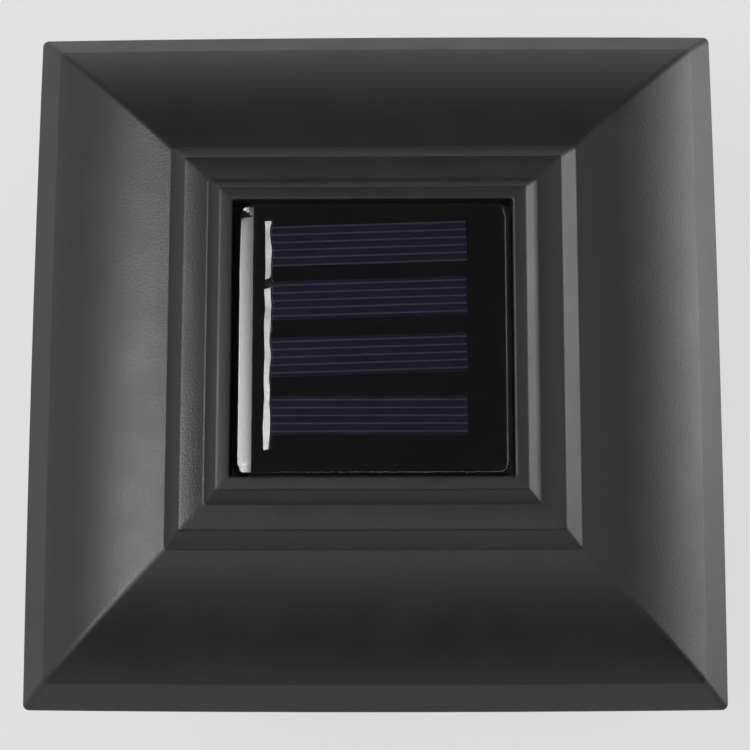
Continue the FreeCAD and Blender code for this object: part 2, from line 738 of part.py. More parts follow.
def circuit_board():
    """Charge and light controller board on the standoffs."""
    board = part_body("circuit_board")
    pad(rectangle(sketch(board, lift=BOARD), BOARD_LENGTH, BOARD_WIDTH), "board_thickness")
    holes = sketch(board, lift=BOARD)
    four_discs(holes, "small_screw_radius+screw_play", *BOARD_SCREWS)
    for side in (1, -1):
        for lead in (1, -1):
            pitch = "%d*led_lead_pitch/2" % lead
            disc(holes, "lead_hole_radius", "%d*%s" % (side, LED_LEAD_X), pitch)
            disc(holes, "lead_hole_radius", pitch, "%d*%s" % (side, LED_LEAD_Y))
        rectangle(holes, "contact_strip*2", "contact_tail+2*contact_strip", "%d*%s" % (side, TAIL_X))
    pocket(holes, "board_thickness", along=True)
    return board


# Blocks as (x, y, length, width, height) and cans as (x, y, radius, height), soldered on the board.
BOARD_BLOCKS = [
    ("-" + BOARD_LENGTH + "/6", "0", "led_radius*2", "led_radius*1.6", "board_thickness"),
    ("-" + BOARD_LENGTH + "/6", "-" + BOARD_WIDTH + "/4", "led_radius", "led_radius/2", "board_thickness/2"),
    ("-" + BOARD_LENGTH + "/3.5", BOARD_WIDTH + "/5", "led_radius", "led_radius/2", "board_thickness/2"),
]
BOARD_CANS = [
    (BOARD_LENGTH + "/8", "-" + BOARD_WIDTH + "/6", "led_radius*1.4", "board_thickness*2.5"),
    (BOARD_LENGTH + "/5", BOARD_WIDTH + "/7", "led_radius*0.8", "board_thickness*3.5"),
    ("-" + BOARD_LENGTH + "/20", BOARD_WIDTH + "/6", "led_radius*0.8", "board_thickness*3"),
]


def board_components():
    """Controller chip, resistors, inductor and capacitors."""
    group = part_body("board_components")
    for x, y, length, width, height in BOARD_BLOCKS:
        pad(rectangle(sketch(group, lift=BOARD_TOP), length, width, x, y), height)
    for x, y, radius, height in BOARD_CANS:
        pad(disc(sketch(group, lift=BOARD_TOP), radius, x, y), height)
    return group


def board_screws():
    radii = ("small_head_radius", "small_screw_radius")
    heights = ("small_head_height", "board_thickness+screw_bite")
    slot_low = BOARD_TOP + "+small_head_height-slot_depth"
    return screws("board_screws", BOARD_SCREWS, radii, heights, BOARD_TOP, BOARD + "-screw_bite", slot_low)


def led(label, turn, side, wall):
    """Round LED through a housing wall: flange inside, leads bent up into the board."""
    lamp = part_body(label)
    dome = "led_radius*(1-cos(45))"
    profile = [
        ("0", "-led_flange"),
        ("led_flange_radius", "-led_flange"),
        ("led_flange_radius", "0"),
        ("led_radius", "0"),
        ("led_radius", "led_barrel", dome),
        ("0", "led_barrel+led_radius"),
    ]
    revolve(outline(sketch(lamp, "XZ_Plane"), profile))
    level = sketch(lamp, lift="-led_flange")
    upright = sketch(lamp, "XZ_Plane", "led_lead/2")
    for end in (1, -1):
        pitch = "%d*led_lead_pitch/2" % end
        rectangle(level, "led_lead", "led_lead", pitch)
        rectangle(upright, "led_lead", "led_lead", pitch, "-led_flange-led_lead_bend+led_lead/2")
    pad(level, "led_lead_bend", back=True)
    pad(upright, "(%s)-(%s)+tail_stub+led_lead/2" % (BOARD_TOP, LED_AXIS), back=True)
    facing = FreeCAD.Rotation(FreeCAD.Vector(1, 1, 1), 120)
    lamp.Placement = FreeCAD.Placement(FreeCAD.Vector(), FreeCAD.Rotation(turn, 0, 0) * facing)
    bind(lamp, "Placement.Base.z", LED_AXIS)
    bind(lamp, "Placement.Base.x" if turn % 180 == 0 else "Placement.Base.y", "%d*%s" % (side, wall))
    return lamp


def battery_cell():
    """Rechargeable AA cell along X, its raised pole to the left."""
    cell = part_body("battery_cell")
    body_length = "battery_length-battery_pole_height"
    profile = [
        ("0", "0"),
        ("battery_radius", "0"),
        ("battery_radius", body_length),
        ("battery_pole_radius", body_length),
        ("battery_pole_radius", "battery_length"),
        ("0", "battery_length"),
    ]
    revolve(outline(sketch(cell, "XZ_Plane"), profile))
    cell.Placement = FreeCAD.Placement(FreeCAD.Vector(), FreeCAD.Rotation(FreeCAD.Vector(0, 1, 0), -90))
    bind(cell, "Placement.Base.x", "battery_length/2")
    bind(cell, "Placement.Base.z", BATTERY_AXIS)
    return cell


def battery_contact(label, side):
    """Sheet contact on the bay's end wall: a bent leaf to the cell and a tail up to the board."""
    contact = part_body(label)
    wall = BAY_LENGTH + "/2"
    back = wall + "-contact_strip"
    nose = "battery_length/2+contact_touch"
    plate_low = BATTERY_AXIS + "-contact_reach-contact_strip*2"
    plate_x = "%d*%s" % (side, TAIL_X)
    plate = rectangle(sketch(contact, lift=plate_low), "contact_strip", "contact_width", plate_x)
    pad(plate, BAY_ROOF + "-battery_play-(" + plate_low + ")")
    tail_low = BAY_ROOF + "-battery_play"
    tail = rectangle(sketch(contact, lift=tail_low), "contact_strip", "contact_tail", plate_x)
    pad(tail, BOARD_TOP + "+tail_stub-(" + tail_low + ")")
    leaf = [
        (back, BATTERY_AXIS + "-contact_reach"),
        (back, BATTERY_AXIS + "-contact_reach+contact_strip*2"),
        (nose + "+contact_strip", BATTERY_AXIS),
        (back, BATTERY_AXIS + "+contact_reach-contact_strip*2"),
        (back, BATTERY_AXIS + "+contact_reach"),
        (nose, BATTERY_AXIS + "+contact_nose"),
        (nose, BATTERY_AXIS + "-contact_nose"),
    ]
    if side == 1:
        leaf.reverse()
    points = [("%d*(%s)" % (side, x), z) for x, z in leaf]
    pad(outline(sketch(contact, "XZ_Plane"), points), "contact_width", both=True)
    return contact


def lead_tube(label, points, radius):
    """A round lead along straight runs joined by arcs, as large as the runs allow."""
    edges = []
    here = points[0]
    for i in range(1, len(points) - 1):
        back = points[i - 1] - points[i]
        ahead = points[i + 1] - points[i]
        half_turn = (math.pi - back.getAngle(ahead)) / 2
        bend = 0.45 * min(back.Length, ahead.Length) / math.tan(half_turn)
        cut = bend * math.tan(half_turn)
        start = points[i] + back.normalize() * cut
        stop = points[i] + ahead.normalize() * cut
        inward = (back + ahead).normalize()
        middle = points[i] + inward * (bend / math.cos(half_turn) - bend)
        edges.append(Part.LineSegment(here, start).toShape())
        edges.append(Part.Arc(start, middle, stop).toShape())
        here = stop
        print(label, "bend radius", round(bend, 2))
    edges.append(Part.LineSegment(here, points[-1]).toShape())
    path = Part.Wire(edges)
    section = Part.Wire([Part.makeCircle(radius, points[0], points[1] - points[0])])
    tube = path.makePipeShell([section], True, True)
    expected = math.pi * radius ** 2 * path.Length
    print(label, "volume", round(tube.Volume, 3), "section by length", round(expected, 3))
    lead = doc.addObject("Part::Feature", label)
    lead.Shape = tube
    lead.Placement = FreeCAD.Placement()
    return lead


def panel_lead(label, side):
    """Lead from the panel through the recess floor down to its pad on the board."""
    y = number(CABLE_Y)
    near = side * number("panel_lead_pitch/2")
    far = side * number("panel_pad_pitch/2")
    top = number(PANEL_BOARD)
    low = number(BOARD_TOP)
    drop = number("lead_drop")
    points = [
        FreeCAD.Vector(near, y, top),
        FreeCAD.Vector(near, y, top - drop),
        FreeCAD.Vector(far, y, low + drop),
        FreeCAD.Vector(far, y, low),
    ]
    return lead_tube(label, points, number("panel_lead_radius"))


def switch_body():
    """Slide switch on the housing floor, hollow where its knob travels."""
    switch = part_body("switch_body")
    case = sketch(switch, lift=HOUSING_DECK)
    rectangle(case, "switch_length", "switch_width", "switch_x", "switch_y")
    pad(case, "switch_height")
    track = rectangle(sketch(switch, lift=HOUSING_DECK), "knob_side+knob_travel+2*knob_play",
                      "knob_side+2*knob_play", "switch_x", "switch_y")
    pocket(track, "knob_in+knob_play", along=True)
    return switch


def switch_leads():
    """Three leads from the switch straight up to the board."""
    leads = part_body("switch_leads")
    low = HOUSING_DECK + "+switch_height"
    ends = sketch(leads, lift=low)
    for step in (-1, 0, 1):
        disc(ends, "switch_lead_radius", "switch_x+%d*switch_lead_pitch" % step, "switch_y")
    pad(ends, BOARD + "-(" + low + ")")
    return leads


def switch_knob():
    """Knob at the off end of its travel, standing out of the housing floor."""
    knob = part_body("switch_knob")
    low = HOUSING_FLOOR + "-knob_out"
    face = rectangle(sketch(knob, lift=low), "knob_side", "knob_side", "switch_x-knob_travel/2", "switch_y")
    pad(face, "knob_out+housing_wall+knob_in")
    return knob


# The battery door

def battery_door():
    """Door under the battery bay, with its hinge barrel, cell saddles, catch tongue and finger lip."""
    door = part_body("battery_door")
    depth = "(%s-%s)" % (DOOR_FRONT, DOOR_REAR)
    middle = "(%s+%s)/2" % (DOOR_FRONT, DOOR_REAR)
    low = DOOR_TOP + "-door_wall"
    pad(rectangle(sketch(door, lift=low), DOOR_LENGTH, depth, y=middle), "door_wall")
    pad(disc(sketch(door, "YZ_Plane"), "barrel_radius", HINGE_Y, HINGE_Z), BARREL, both=True)
    web = sketch(door, lift=low)
    rectangle(web, BARREL, "%s-%s" % (DOOR_REAR, HINGE_Y), y="(%s+%s)/2" % (DOOR_REAR, HINGE_Y))
    pad(web, "door_wall")
    saddle_depth = BAY_WIDTH + "-2*saddle_margin"
    saddles = sketch(door, lift=DOOR_TOP)
    for side in (1, -1):
        rectangle(saddles, "saddle_wall", saddle_depth, "%d*saddle_spacing/2" % side)
    pad(saddles, "door_gap+housing_wall")
    tongue_y = DOOR_FRONT + "-tongue_wall/2"
    pad(rectangle(sketch(door, lift=DOOR_TOP), "tongue_width", "tongue_wall", "0", tongue_y), "tongue_height")
    lip_y = DOOR_FRONT + "+finger_lip/2"
    pad(rectangle(sketch(door, lift=low), "tongue_width*2", "finger_lip", "0", lip_y), "door_wall/2")
    bore = disc(sketch(door, "YZ_Plane"), "pin_radius+pin_play", HINGE_Y, HINGE_Z)
    pocket(bore, BARREL + "*2", both=True)
    return door


def door_hinge_pin():
    pin = part_body("door_hinge_pin")
    round_bar = disc(sketch(pin, "YZ_Plane"), "pin_radius", HINGE_Y, HINGE_Z)
    pad(round_bar, DOOR_LENGTH, both=True)
    return pin


sub_parts = [
    post_base(),
    grip_pads(),
    window_frame(),
    pane("pane_right", 0),
    pane("pane_back", 90),
    pane("pane_left", 180),
    pane("pane_front", 270),
    frame_screws(),
    roof_shell(),
    panel_sealant(),
    panel_board(),
    solar_cells(),
    panel_resin(),
    light_housing(),
    housing_screws(),
    reflector_plate(),
    circuit_board(),
    board_components(),
    board_screws(),
    led("led_right", 0, 1, HOUSING_INNER_X),
    led("led_back", 90, 1, HOUSING_INNER_Y),
    led("led_left", 180, -1, HOUSING_INNER_X),
    led("led_front", 270, -1, HOUSING_INNER_Y),
    battery_cell(),
    battery_contact("contact_negative", 1),
    battery_contact("contact_positive", -1),
    panel_lead("panel_lead_red", 1),
    panel_lead("panel_lead_black", -1),
    switch_body(),
    switch_leads(),
    switch_knob(),
    battery_door(),
    door_hinge_pin(),
]
doc.recompute()

for item in doc.Objects:
    if "Invalid" in item.State or "Error" in item.State:
        raise RuntimeError("%s could not be worked out" % item.Label)
    if item.isDerivedFrom("PartDesign::Pocket"):
        if item.Shape.Volume > item.BaseFeature.Shape.Volume - 1e-6:
            raise RuntimeError("%s of %s cuts nothing" % (item.Name, item.getParentGeoFeatureGroup().Label))
for piece in sub_parts:
    if piece.Shape.isNull() or not piece.Shape.isValid():
        raise RuntimeError("%s has no sound shape" % piece.Label)

os.makedirs("parts", exist_ok=True)
for piece in sub_parts:
    piece.Shape.exportStep("parts/%s.step" % piece.Label)
    box = piece.Shape.BoundBox
    print("%-18s %2d solids %9.1f mm3  z %6.2f to %6.2f" % (
        piece.Label, len(piece.Shape.Solids), piece.Shape.Volume, box.ZMin, box.ZMax))
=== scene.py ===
"""A solar cap light for a square deck post, seen from above.

Each piece gets its looks here, in the order in which the pieces go together.
"""
import math
import random

import bmesh
import bpy
import numpy as np
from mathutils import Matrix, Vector


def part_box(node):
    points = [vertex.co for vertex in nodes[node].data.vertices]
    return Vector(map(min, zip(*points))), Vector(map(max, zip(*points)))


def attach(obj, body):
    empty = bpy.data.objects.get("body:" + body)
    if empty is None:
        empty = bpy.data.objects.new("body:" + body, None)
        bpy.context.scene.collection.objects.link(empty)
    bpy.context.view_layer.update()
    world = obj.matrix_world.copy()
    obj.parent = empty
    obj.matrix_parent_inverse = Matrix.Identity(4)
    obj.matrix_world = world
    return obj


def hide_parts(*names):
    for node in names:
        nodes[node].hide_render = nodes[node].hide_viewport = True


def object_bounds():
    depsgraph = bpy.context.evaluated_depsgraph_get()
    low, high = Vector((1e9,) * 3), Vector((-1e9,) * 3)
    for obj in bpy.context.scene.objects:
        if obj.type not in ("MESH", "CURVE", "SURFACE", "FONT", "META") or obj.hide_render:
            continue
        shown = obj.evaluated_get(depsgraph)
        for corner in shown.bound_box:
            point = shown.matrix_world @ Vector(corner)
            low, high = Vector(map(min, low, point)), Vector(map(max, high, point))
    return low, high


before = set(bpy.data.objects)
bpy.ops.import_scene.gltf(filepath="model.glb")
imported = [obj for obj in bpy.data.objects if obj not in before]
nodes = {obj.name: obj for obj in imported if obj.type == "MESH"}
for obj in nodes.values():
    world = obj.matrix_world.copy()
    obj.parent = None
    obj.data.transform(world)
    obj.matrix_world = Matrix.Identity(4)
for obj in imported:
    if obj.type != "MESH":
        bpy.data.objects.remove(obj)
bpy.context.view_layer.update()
MM = 0.001
scene = bpy.context.scene
scene.view_settings.view_transform = "Standard"


# --- Camera ---------------------------------------------------------------------------------
# A long lens, almost straight above the cap and a little in front of it, so that the roof's
# front slopes show wider than the back ones. Its place was fitted to the roof's nested squares.

sensor_width, focal_length = 36, 112.8
nearest, furthest = 0.01, 20
camera_place = (0.0102, -0.1121, 0.5915)
camera_turn = (11.616, 1.066, -0.171)

lens = bpy.data.cameras.new("camera")
lens.sensor_width = sensor_width
lens.lens = focal_length
lens.clip_start, lens.clip_end = nearest, furthest
camera = bpy.data.objects.new("camera", lens)
camera.rotation_mode = "ZYX"
camera.location = camera_place
camera.rotation_euler = [math.radians(degrees) for degrees in camera_turn]
scene.collection.objects.link(camera)
scene.camera = camera


# --- Table and studio -----------------------------------------------------------------------
# The cap stands on a wide pale grey table, open from below, that runs out to a pale wall. A
# softbox hangs at the left, two fill lights above, and a gridded panel stands low at the right.

PALE_GREY = (0.768, 0.768, 0.768, 1)
WALL_GREY = (0.14, 0.14, 0.14, 1)
CEILING_GREY = (0.05, 0.05, 0.05, 1)
table_half = 3.0
# The share of the table's plain colour that a ray sees. The rest of it takes the shadow.
table_glow = 0.86
# Heights at which the room's colour changes, on the way from the horizon to straight up.
horizon, wall_start, wall_end, ceiling = 0.11, 0.27, 0.88, 0.95


def place(tree, kind, inputs=(), **settings):
    """Adds a node, sets its options, and sets or joins its inputs by name or number."""
    node = tree.nodes.new(kind)
    for name, value in settings.items():
        setattr(node, name, value)
    for name, value in dict(inputs).items():
        if isinstance(value, bpy.types.NodeSocket):
            tree.links.new(value, node.inputs[name])
        else:
            node.inputs[name].default_value = value
    return node


def maths(tree, operation, a, b=0.0, clamp=False):
    return place(tree, "ShaderNodeMath", {0: a, 1: b}, operation=operation, use_clamp=clamp).outputs[0]


def empty_material(name):
    finish = bpy.data.materials.new(name)
    finish.use_nodes = True
    finish.node_tree.nodes.clear()
    return finish, finish.node_tree


def mesh_object(name, points, faces, smooth=False):
    mesh = bpy.data.meshes.new(name)
    mesh.from_pydata([tuple(p) for p in points], [], [tuple(f) for f in faces])
    mesh.validate()
    mesh.polygons.foreach_set("use_smooth", [smooth] * len(mesh.polygons))
    made = bpy.data.objects.new(name, mesh)
    scene.collection.objects.link(made)
    return made


table_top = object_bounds()[0].z
corners = [(-1, -1), (1, -1), (1, 1), (-1, 1)]
table_points = [(x * table_half, y * table_half, table_top) for x, y in corners]
table = mesh_object("table", table_points, [(0, 1, 2, 3)])
table_paint, tree = empty_material("table_paint")
rays = place(tree, "ShaderNodeLightPath").outputs
seen = maths(tree, "MAXIMUM", rays["Is Camera Ray"], rays["Is Glossy Ray"])
seen = maths(tree, "MAXIMUM", seen, rays["Is Transmission Ray"])
share = maths(tree, "MULTIPLY", seen, table_glow)
lit = place(tree, "ShaderNodeBsdfDiffuse", {"Color": PALE_GREY})
plain = place(tree, "ShaderNodeEmission", {"Color": PALE_GREY, "Strength": 1.0})
both = place(tree, "ShaderNodeMixShader", {0: share, 1: lit.outputs[0], 2: plain.outputs[0]})
nothing = place(tree, "ShaderNodeBsdfTransparent")
under_side = place(tree, "ShaderNodeNewGeometry").outputs["Backfacing"]
open_below = place(tree, "ShaderNodeMixShader", {0: under_side, 1: both.outputs[0], 2: nothing.outputs[0]})
place(tree, "ShaderNodeOutputMaterial", {"Surface": open_below.outputs[0]})
table.data.materials.append(table_paint)

room = bpy.data.worlds.new("room")
scene.world = room
room.use_nodes = True
tree = room.node_tree
tree.nodes.clear()
ways = place(tree, "ShaderNodeTexCoord")
height = place(tree, "ShaderNodeSeparateXYZ", {0: ways.outputs["Generated"]})
wall = place(tree, "ShaderNodeValToRGB", {"Fac": height.outputs["Z"]})
bands = wall.color_ramp.elements
bands[0].position, bands[0].color = horizon, PALE_GREY
bands[1].position, bands[1].color = ceiling, CEILING_GREY
bands.new(wall_start).color = WALL_GREY
bands.new(wall_end).color = WALL_GREY
air = place(tree, "ShaderNodeBackground", {"Color": wall.outputs["Color"], "Strength": 1.0})
place(tree, "ShaderNodeOutputWorld", {"Surface": air.outputs[0]})


def lamp(name, watts, width, depth, hung_at, towards, opening=180):
    """A rectangular soft lamp that faces a point on the cap. A grid can narrow its opening."""
    light = bpy.data.lights.new(name, "AREA")
    light.shape = "RECTANGLE"
    light.size, light.size_y = width, depth
    light.energy = watts
    light.spread = math.radians(opening)
    made = bpy.data.objects.new(name, light)
    made.location = hung_at
    way = Vector(np.subtract(towards, hung_at))
    made.rotation_euler = way.to_track_quat("-Z", "Y").to_euler()
    scene.collection.objects.link(made)
    made.visible_camera = False
    return made


def fade(light, near, far, middle):
    """Lets a lamp's face fall off from its bright middle to its rim, as a diffuser does."""
    fade_start, fade_end = 0.1, 0.55
    light.data.use_nodes = True
    tree = light.data.node_tree
    tree.nodes.clear()
    face = place(tree, "ShaderNodeNewGeometry").outputs["Parametric"]
    reach = place(tree, "ShaderNodeVectorMath", {0: face, 1: middle}, operation="DISTANCE").outputs["Value"]
    limits = {"From Min": fade_start, "From Max": fade_end, "To Min": near, "To Max": far}
    glow = place(tree, "ShaderNodeMapRange", {"Value": reach, **limits}, interpolation_type="SMOOTHSTEP")
    shine = place(tree, "ShaderNodeEmission", {"Strength": glow.outputs[0]})
    place(tree, "ShaderNodeOutputLight", {"Surface": shine.outputs[0]})


roof_middle = (0, 0, 0.085)
lamp_reach = 1.2


def out(way):
    """The point at the lamps' reach from the roof's middle, along a way."""
    return [start + part * lamp_reach for start, part in zip(roof_middle, way)]


softbox = lamp("softbox_left", watts=14.3, width=0.92, depth=0.66,
               hung_at=out((-0.640, -0.090, 0.763)), towards=roof_middle)
fade(softbox, near=1.8, far=0.35, middle=(0.30, 0.5, 0.0))
lamp("fill_right", watts=1.6, width=0.90, depth=0.40, hung_at=out((0.45, 0.20, 0.87)), towards=roof_middle)
lamp("fill_front", watts=1.3, width=0.50, depth=0.40, hung_at=out((0.12, -0.32, 0.94)), towards=roof_middle)
panel = lamp("panel_right", watts=0.20, width=0.40, depth=0.176,
             hung_at=(0.30, 0.080, 0.092), towards=(0, 0.040, 0.080), opening=100)
fade(panel, near=2.8, far=0.55, middle=(0.5, 0.0, 0.0))


# --- Post base ------------------------------------------------------------------------------
# One black moulding: a collar that slides over the post, a wide flange with a drip lip, and
# the deck that carries the windows. Fine spark-eroded grain, edges polished by handling
# and lightened, partly by wear and partly as a painted highlight.

# How far the clouds in a moulding's skin turn its colour and its roughness, and how much
# lighter and smoother a handled edge is. Its lighter colour is partly wear, partly a painted highlight.
cloud_tone, cloud_shine = 0.6, 0.035
rub_and_sheen_tone, rub_shine = 1.9, 0.12


def node_group(name, ins, outs, kind="ShaderNodeTree"):
    """A node group with named inputs and outputs, each input with its starting value."""
    group = bpy.data.node_groups.new(name, kind)
    for label, socket_kind, start in ins:
        socket = group.interface.new_socket(label, in_out="INPUT", socket_type="NodeSocket" + socket_kind)
        if start is not None:
            socket.default_value = start
    for label, socket_kind in outs:
        group.interface.new_socket(label, in_out="OUTPUT", socket_type="NodeSocket" + socket_kind)
    return group, group.nodes.new("NodeGroupInput").outputs, group.nodes.new("NodeGroupOutput").inputs


def blend(tree, share, a, b):
    return place(tree, "ShaderNodeMix", {0: share, 6: a, 7: b}, data_type="RGBA").outputs[2]


def spread(tree, value, low, high, to_low=0.0, to_high=1.0):
    """Turns the range from low to high into another range."""
    inputs = {"Value": value, "From Min": low, "From Max": high, "To Min": to_low, "To Max": to_high}
    return place(tree, "ShaderNodeMapRange", inputs).outputs[0]


def noise(tree, where, scale, detail, **more):
    inputs = {"Vector": where, "Scale": scale, "Detail": detail, **more}
    return place(tree, "ShaderNodeTexNoise", inputs).outputs["Fac"]


def bumped(tree, height, distance, strength=1.0, **more):
    """A normal that follows a height, which is worth a distance in metres."""
    inputs = {"Strength": strength, "Distance": distance, "Height": height, **more}
    return place(tree, "ShaderNodeBump", inputs).outputs[0]


def finished(tree, tone, shine, **more):
    """Gives a material its surface, from its colour, its roughness and what else it has."""
    inputs = {"Base Color": tone, "Roughness": shine}
    inputs.update({label.replace("_", " "): value for label, value in more.items()})
    body = place(tree, "ShaderNodeBsdfPrincipled", inputs)
    place(tree, "ShaderNodeOutputMaterial", {"Surface": body.outputs[0]})


grain_group, ins, outs = node_group(
    "moulded_grain",
    [("Vector", "Vector", None), ("Grain Size", "Float", 0.4), ("Cloud Size", "Float", 12.0)],
    [("Height", "Float"), ("Cloud", "Float")],
)
tree = grain_group
per_grain = maths(tree, "DIVIDE", 1000.0, ins["Grain Size"])
per_cloud = maths(tree, "DIVIDE", 1000.0, ins["Cloud Size"])
grains = noise(tree, ins["Vector"], per_grain, 3.0, Roughness=0.6)
pits = place(tree, "ShaderNodeTexVoronoi", {"Vector": ins["Vector"], "Scale": per_grain, "Randomness": 1.0})
cloud = noise(tree, ins["Vector"], per_cloud, 4.0, Roughness=0.55)
height = maths(tree, "ADD", grains, maths(tree, "MULTIPLY", pits.outputs["Distance"], 0.5))
tree.links.new(height, outs["Height"])
tree.links.new(spread(tree, cloud, 0.3, 0.7), outs["Cloud"])

# A mask of the edges. Mouldings lighten their colour by it, partly as wear and partly as a painted highlight.
edge_group, ins, outs = node_group(
    "rubbed_and_sheen_edge",
    [("Vector", "Vector", None), ("Reach", "Float", 0.0008), ("Patch Size", "Float", 6.0)],
    [("Mask", "Float"), ("Normal", "Vector")],
)
tree = edge_group
eased = place(tree, "ShaderNodeBevel", {"Radius": ins["Reach"]}, samples=6).outputs[0]
flat = place(tree, "ShaderNodeNewGeometry").outputs["Normal"]
turn = place(tree, "ShaderNodeVectorMath", {0: eased, 1: flat}, operation="DOT_PRODUCT")
away = spread(tree, turn.outputs["Value"], 0.995, 0.88)
per_patch = maths(tree, "DIVIDE", 1000.0, ins["Patch Size"])
patches = noise(tree, ins["Vector"], per_patch, 5.0)
worn_and_sheen = maths(tree, "MULTIPLY", away, spread(tree, patches, 0.3, 0.7, 0.3, 1.0), clamp=True)
tree.links.new(worn_and_sheen, outs["Mask"])
tree.links.new(eased, outs["Normal"])


def new_finish(name):
    """An empty material, its nodes, and the place on the piece that its patterns follow."""
    finish, tree = empty_material(name)
    return finish, tree, place(tree, "ShaderNodeTexCoord").outputs["Object"]


def use_group(tree, group, inputs):
    return place(tree, "ShaderNodeGroup", inputs, node_tree=group).outputs


def moulding(name, colour, light, roughness, grain, relief, edge=0.8 * MM, rub=0.5, **shader):
    """Moulded plastic or rubber: grain in the surface, clouded shine and handled edges,
    whose lighter colour is partly wear and partly a painted highlight.

    grain is the size of the grain in millimetres. relief and edge are in metres.
    """
    finish, tree, where = new_finish(name)
    surface = use_group(tree, grain_group, {"Vector": where, "Grain Size": grain})
    rim = use_group(tree, edge_group, {"Vector": where, "Reach": edge})
    # Edges turn lighter here: partly wear and partly a painted highlight.
    wear_and_sheen_colour = [min(1, rub_and_sheen_tone * part) for part in light[:3]] + [1]
    tone = blend(tree, maths(tree, "MULTIPLY", surface["Cloud"], cloud_tone), colour, light)
    tone = blend(tree, maths(tree, "MULTIPLY", rim["Mask"], rub), tone, wear_and_sheen_colour)
    shine = spread(tree, surface["Cloud"], 0, 1, roughness - cloud_shine, roughness + cloud_shine)
    shine = maths(tree, "SUBTRACT", shine, maths(tree, "MULTIPLY", rim["Mask"], rub_shine), clamp=True)
    normal = bumped(tree, surface["Height"], relief, Normal=rim["Normal"])
    finished(tree, tone, shine, Normal=normal, **shader)
    return finish


def dress(finish, *names):
    """Gives CAD nodes their finish."""
    for name in names:
        mesh = nodes[name].data
        mesh.materials.clear()
        mesh.materials.append(finish)


base_black = moulding("base_black", colour=(0.010, 0.010, 0.010, 1), light=(0.017, 0.017, 0.017, 1),
                      roughness=0.52, grain=0.45, relief=0.030 * MM)
dress(base_black, "post_base")


# --- Grip pads ------------------------------------------------------------------------------
# Four rubber pads inside the collar that take up the play round the post. Soft and matt,
# with a bloom of pale dust in the pores.

pad_rubber = moulding("pad_rubber", colour=(0.020, 0.020, 0.021, 1), light=(0.045, 0.044, 0.042, 1),
                      roughness=0.86, grain=0.7, relief=0.060 * MM, rub=0.3)
dress(pad_rubber, "grip_pads")


# --- Window frame ---------------------------------------------------------------------------
# The lantern part: four corner posts between two rails, moulded in one piece and screwed to
# the deck. The same black plastic as the base, with a slightly finer grain.

frame_black = moulding("frame_black", colour=(0.010, 0.010, 0.011, 1), light=(0.018, 0.018, 0.019, 1),
                       roughness=0.48, grain=0.38, relief=0.022 * MM)
dress(frame_black, "window_frame")


# --- Panes ----------------------------------------------------------------------------------
# Four frosted polycarbonate panes held in pockets of the frame. Fine upright flutes on the
# surface spread the light of the LEDs.

flute_pitch, flute_depth = 2.2 * MM, 0.25 * MM


def pane_finish(name, across):
    """Frosted plastic whose flutes run upright. across is 0 or 1: the axis they repeat along."""
    finish, tree, where = new_finish(name)
    axes = place(tree, "ShaderNodeSeparateXYZ", {0: where})
    flute = maths(tree, "SINE", maths(tree, "MULTIPLY", axes.outputs[across], 2 * math.pi / flute_pitch))
    surface = use_group(tree, grain_group, {"Vector": where, "Grain Size": 0.25, "Cloud Size": 20.0})
    relief = maths(tree, "ADD", flute, maths(tree, "MULTIPLY", surface["Height"], 0.10))
    tone = blend(tree, surface["Cloud"], (0.83, 0.85, 0.84, 1), (0.90, 0.91, 0.90, 1))
    shine = spread(tree, surface["Cloud"], 0, 1, 0.42, 0.52)
    normal = bumped(tree, relief, flute_depth, 0.9)
    finished(tree, tone, shine, Transmission_Weight=0.45, IOR=1.58, Normal=normal)
    return finish


dress(pane_finish("frosted_flutes_x", 0), "pane_front", "pane_back")
dress(pane_finish("frosted_flutes_y", 1), "pane_left", "pane_right")


# --- Screws ---------------------------------------------------------------------------------
# Zinc-plated self-tapping screws: large ones hold the frame and the housing, small ones the
# circuit board. Bright plating with faint drawing marks and a little grey in patches.

def metal(name, colour, dull, roughness, streak=(1.0, 1.0, 1.0)):
    """Bare or plated metal: streaks stretched along one way, and a duller tint in patches."""
    finish, tree, where = new_finish(name)
    drawn = place(tree, "ShaderNodeMapping", {"Vector": where, "Scale": streak})
    lines = noise(tree, drawn.outputs[0], 900.0, 3.0)
    patch = noise(tree, where, 220.0, 4.0)
    rim = use_group(tree, edge_group, {"Vector": where, "Reach": 0.3 * MM, "Patch Size": 1.5})
    tone = blend(tree, spread(tree, patch, 0.35, 0.7), colour, dull)
    tone = blend(tree, maths(tree, "MULTIPLY", rim["Mask"], 0.5), tone, (0.9, 0.9, 0.9, 1))
    shine = spread(tree, lines, 0.3, 0.7, roughness - 0.07, roughness + 0.1)
    normal = bumped(tree, lines, 0.010 * MM, 0.5, Normal=rim["Normal"])
    finished(tree, tone, shine, Metallic=1.0, Normal=normal)
    return finish


zinc = metal("zinc_plate", colour=(0.62, 0.63, 0.64, 1), dull=(0.42, 0.43, 0.45, 1), roughness=0.30)
dress(zinc, "frame_screws", "housing_screws", "board_screws")


# --- Roof -----------------------------------------------------------------------------------
# One black moulding, swept from a single section round a square: a steep rim, four bulging
# slopes, two steps and a bezel round the panel's recess. Satin, with a fine leathery grain.

roof_wall = 2.5 * MM
rim_inset, rim_height = 5.6 * MM, 7.9 * MM
panel_gap, recess_depth = 0.6 * MM, 6.3 * MM
bezel_width, bezel_fall = 2.9 * MM, 0.4 * MM
bezel_inset, bezel_rise = 2.8 * MM, 3.2 * MM
shelf_width, shelf_fall = 5.5 * MM, 1.2 * MM
step_inset, step_rise = 3.6 * MM, 4.4 * MM
slope_bulge, shelf_bulge, bezel_bulge = 2.2 * MM, 0.14 * MM, 0.05 * MM
slope_parts, shelf_parts, bezel_parts = 22, 6, 4
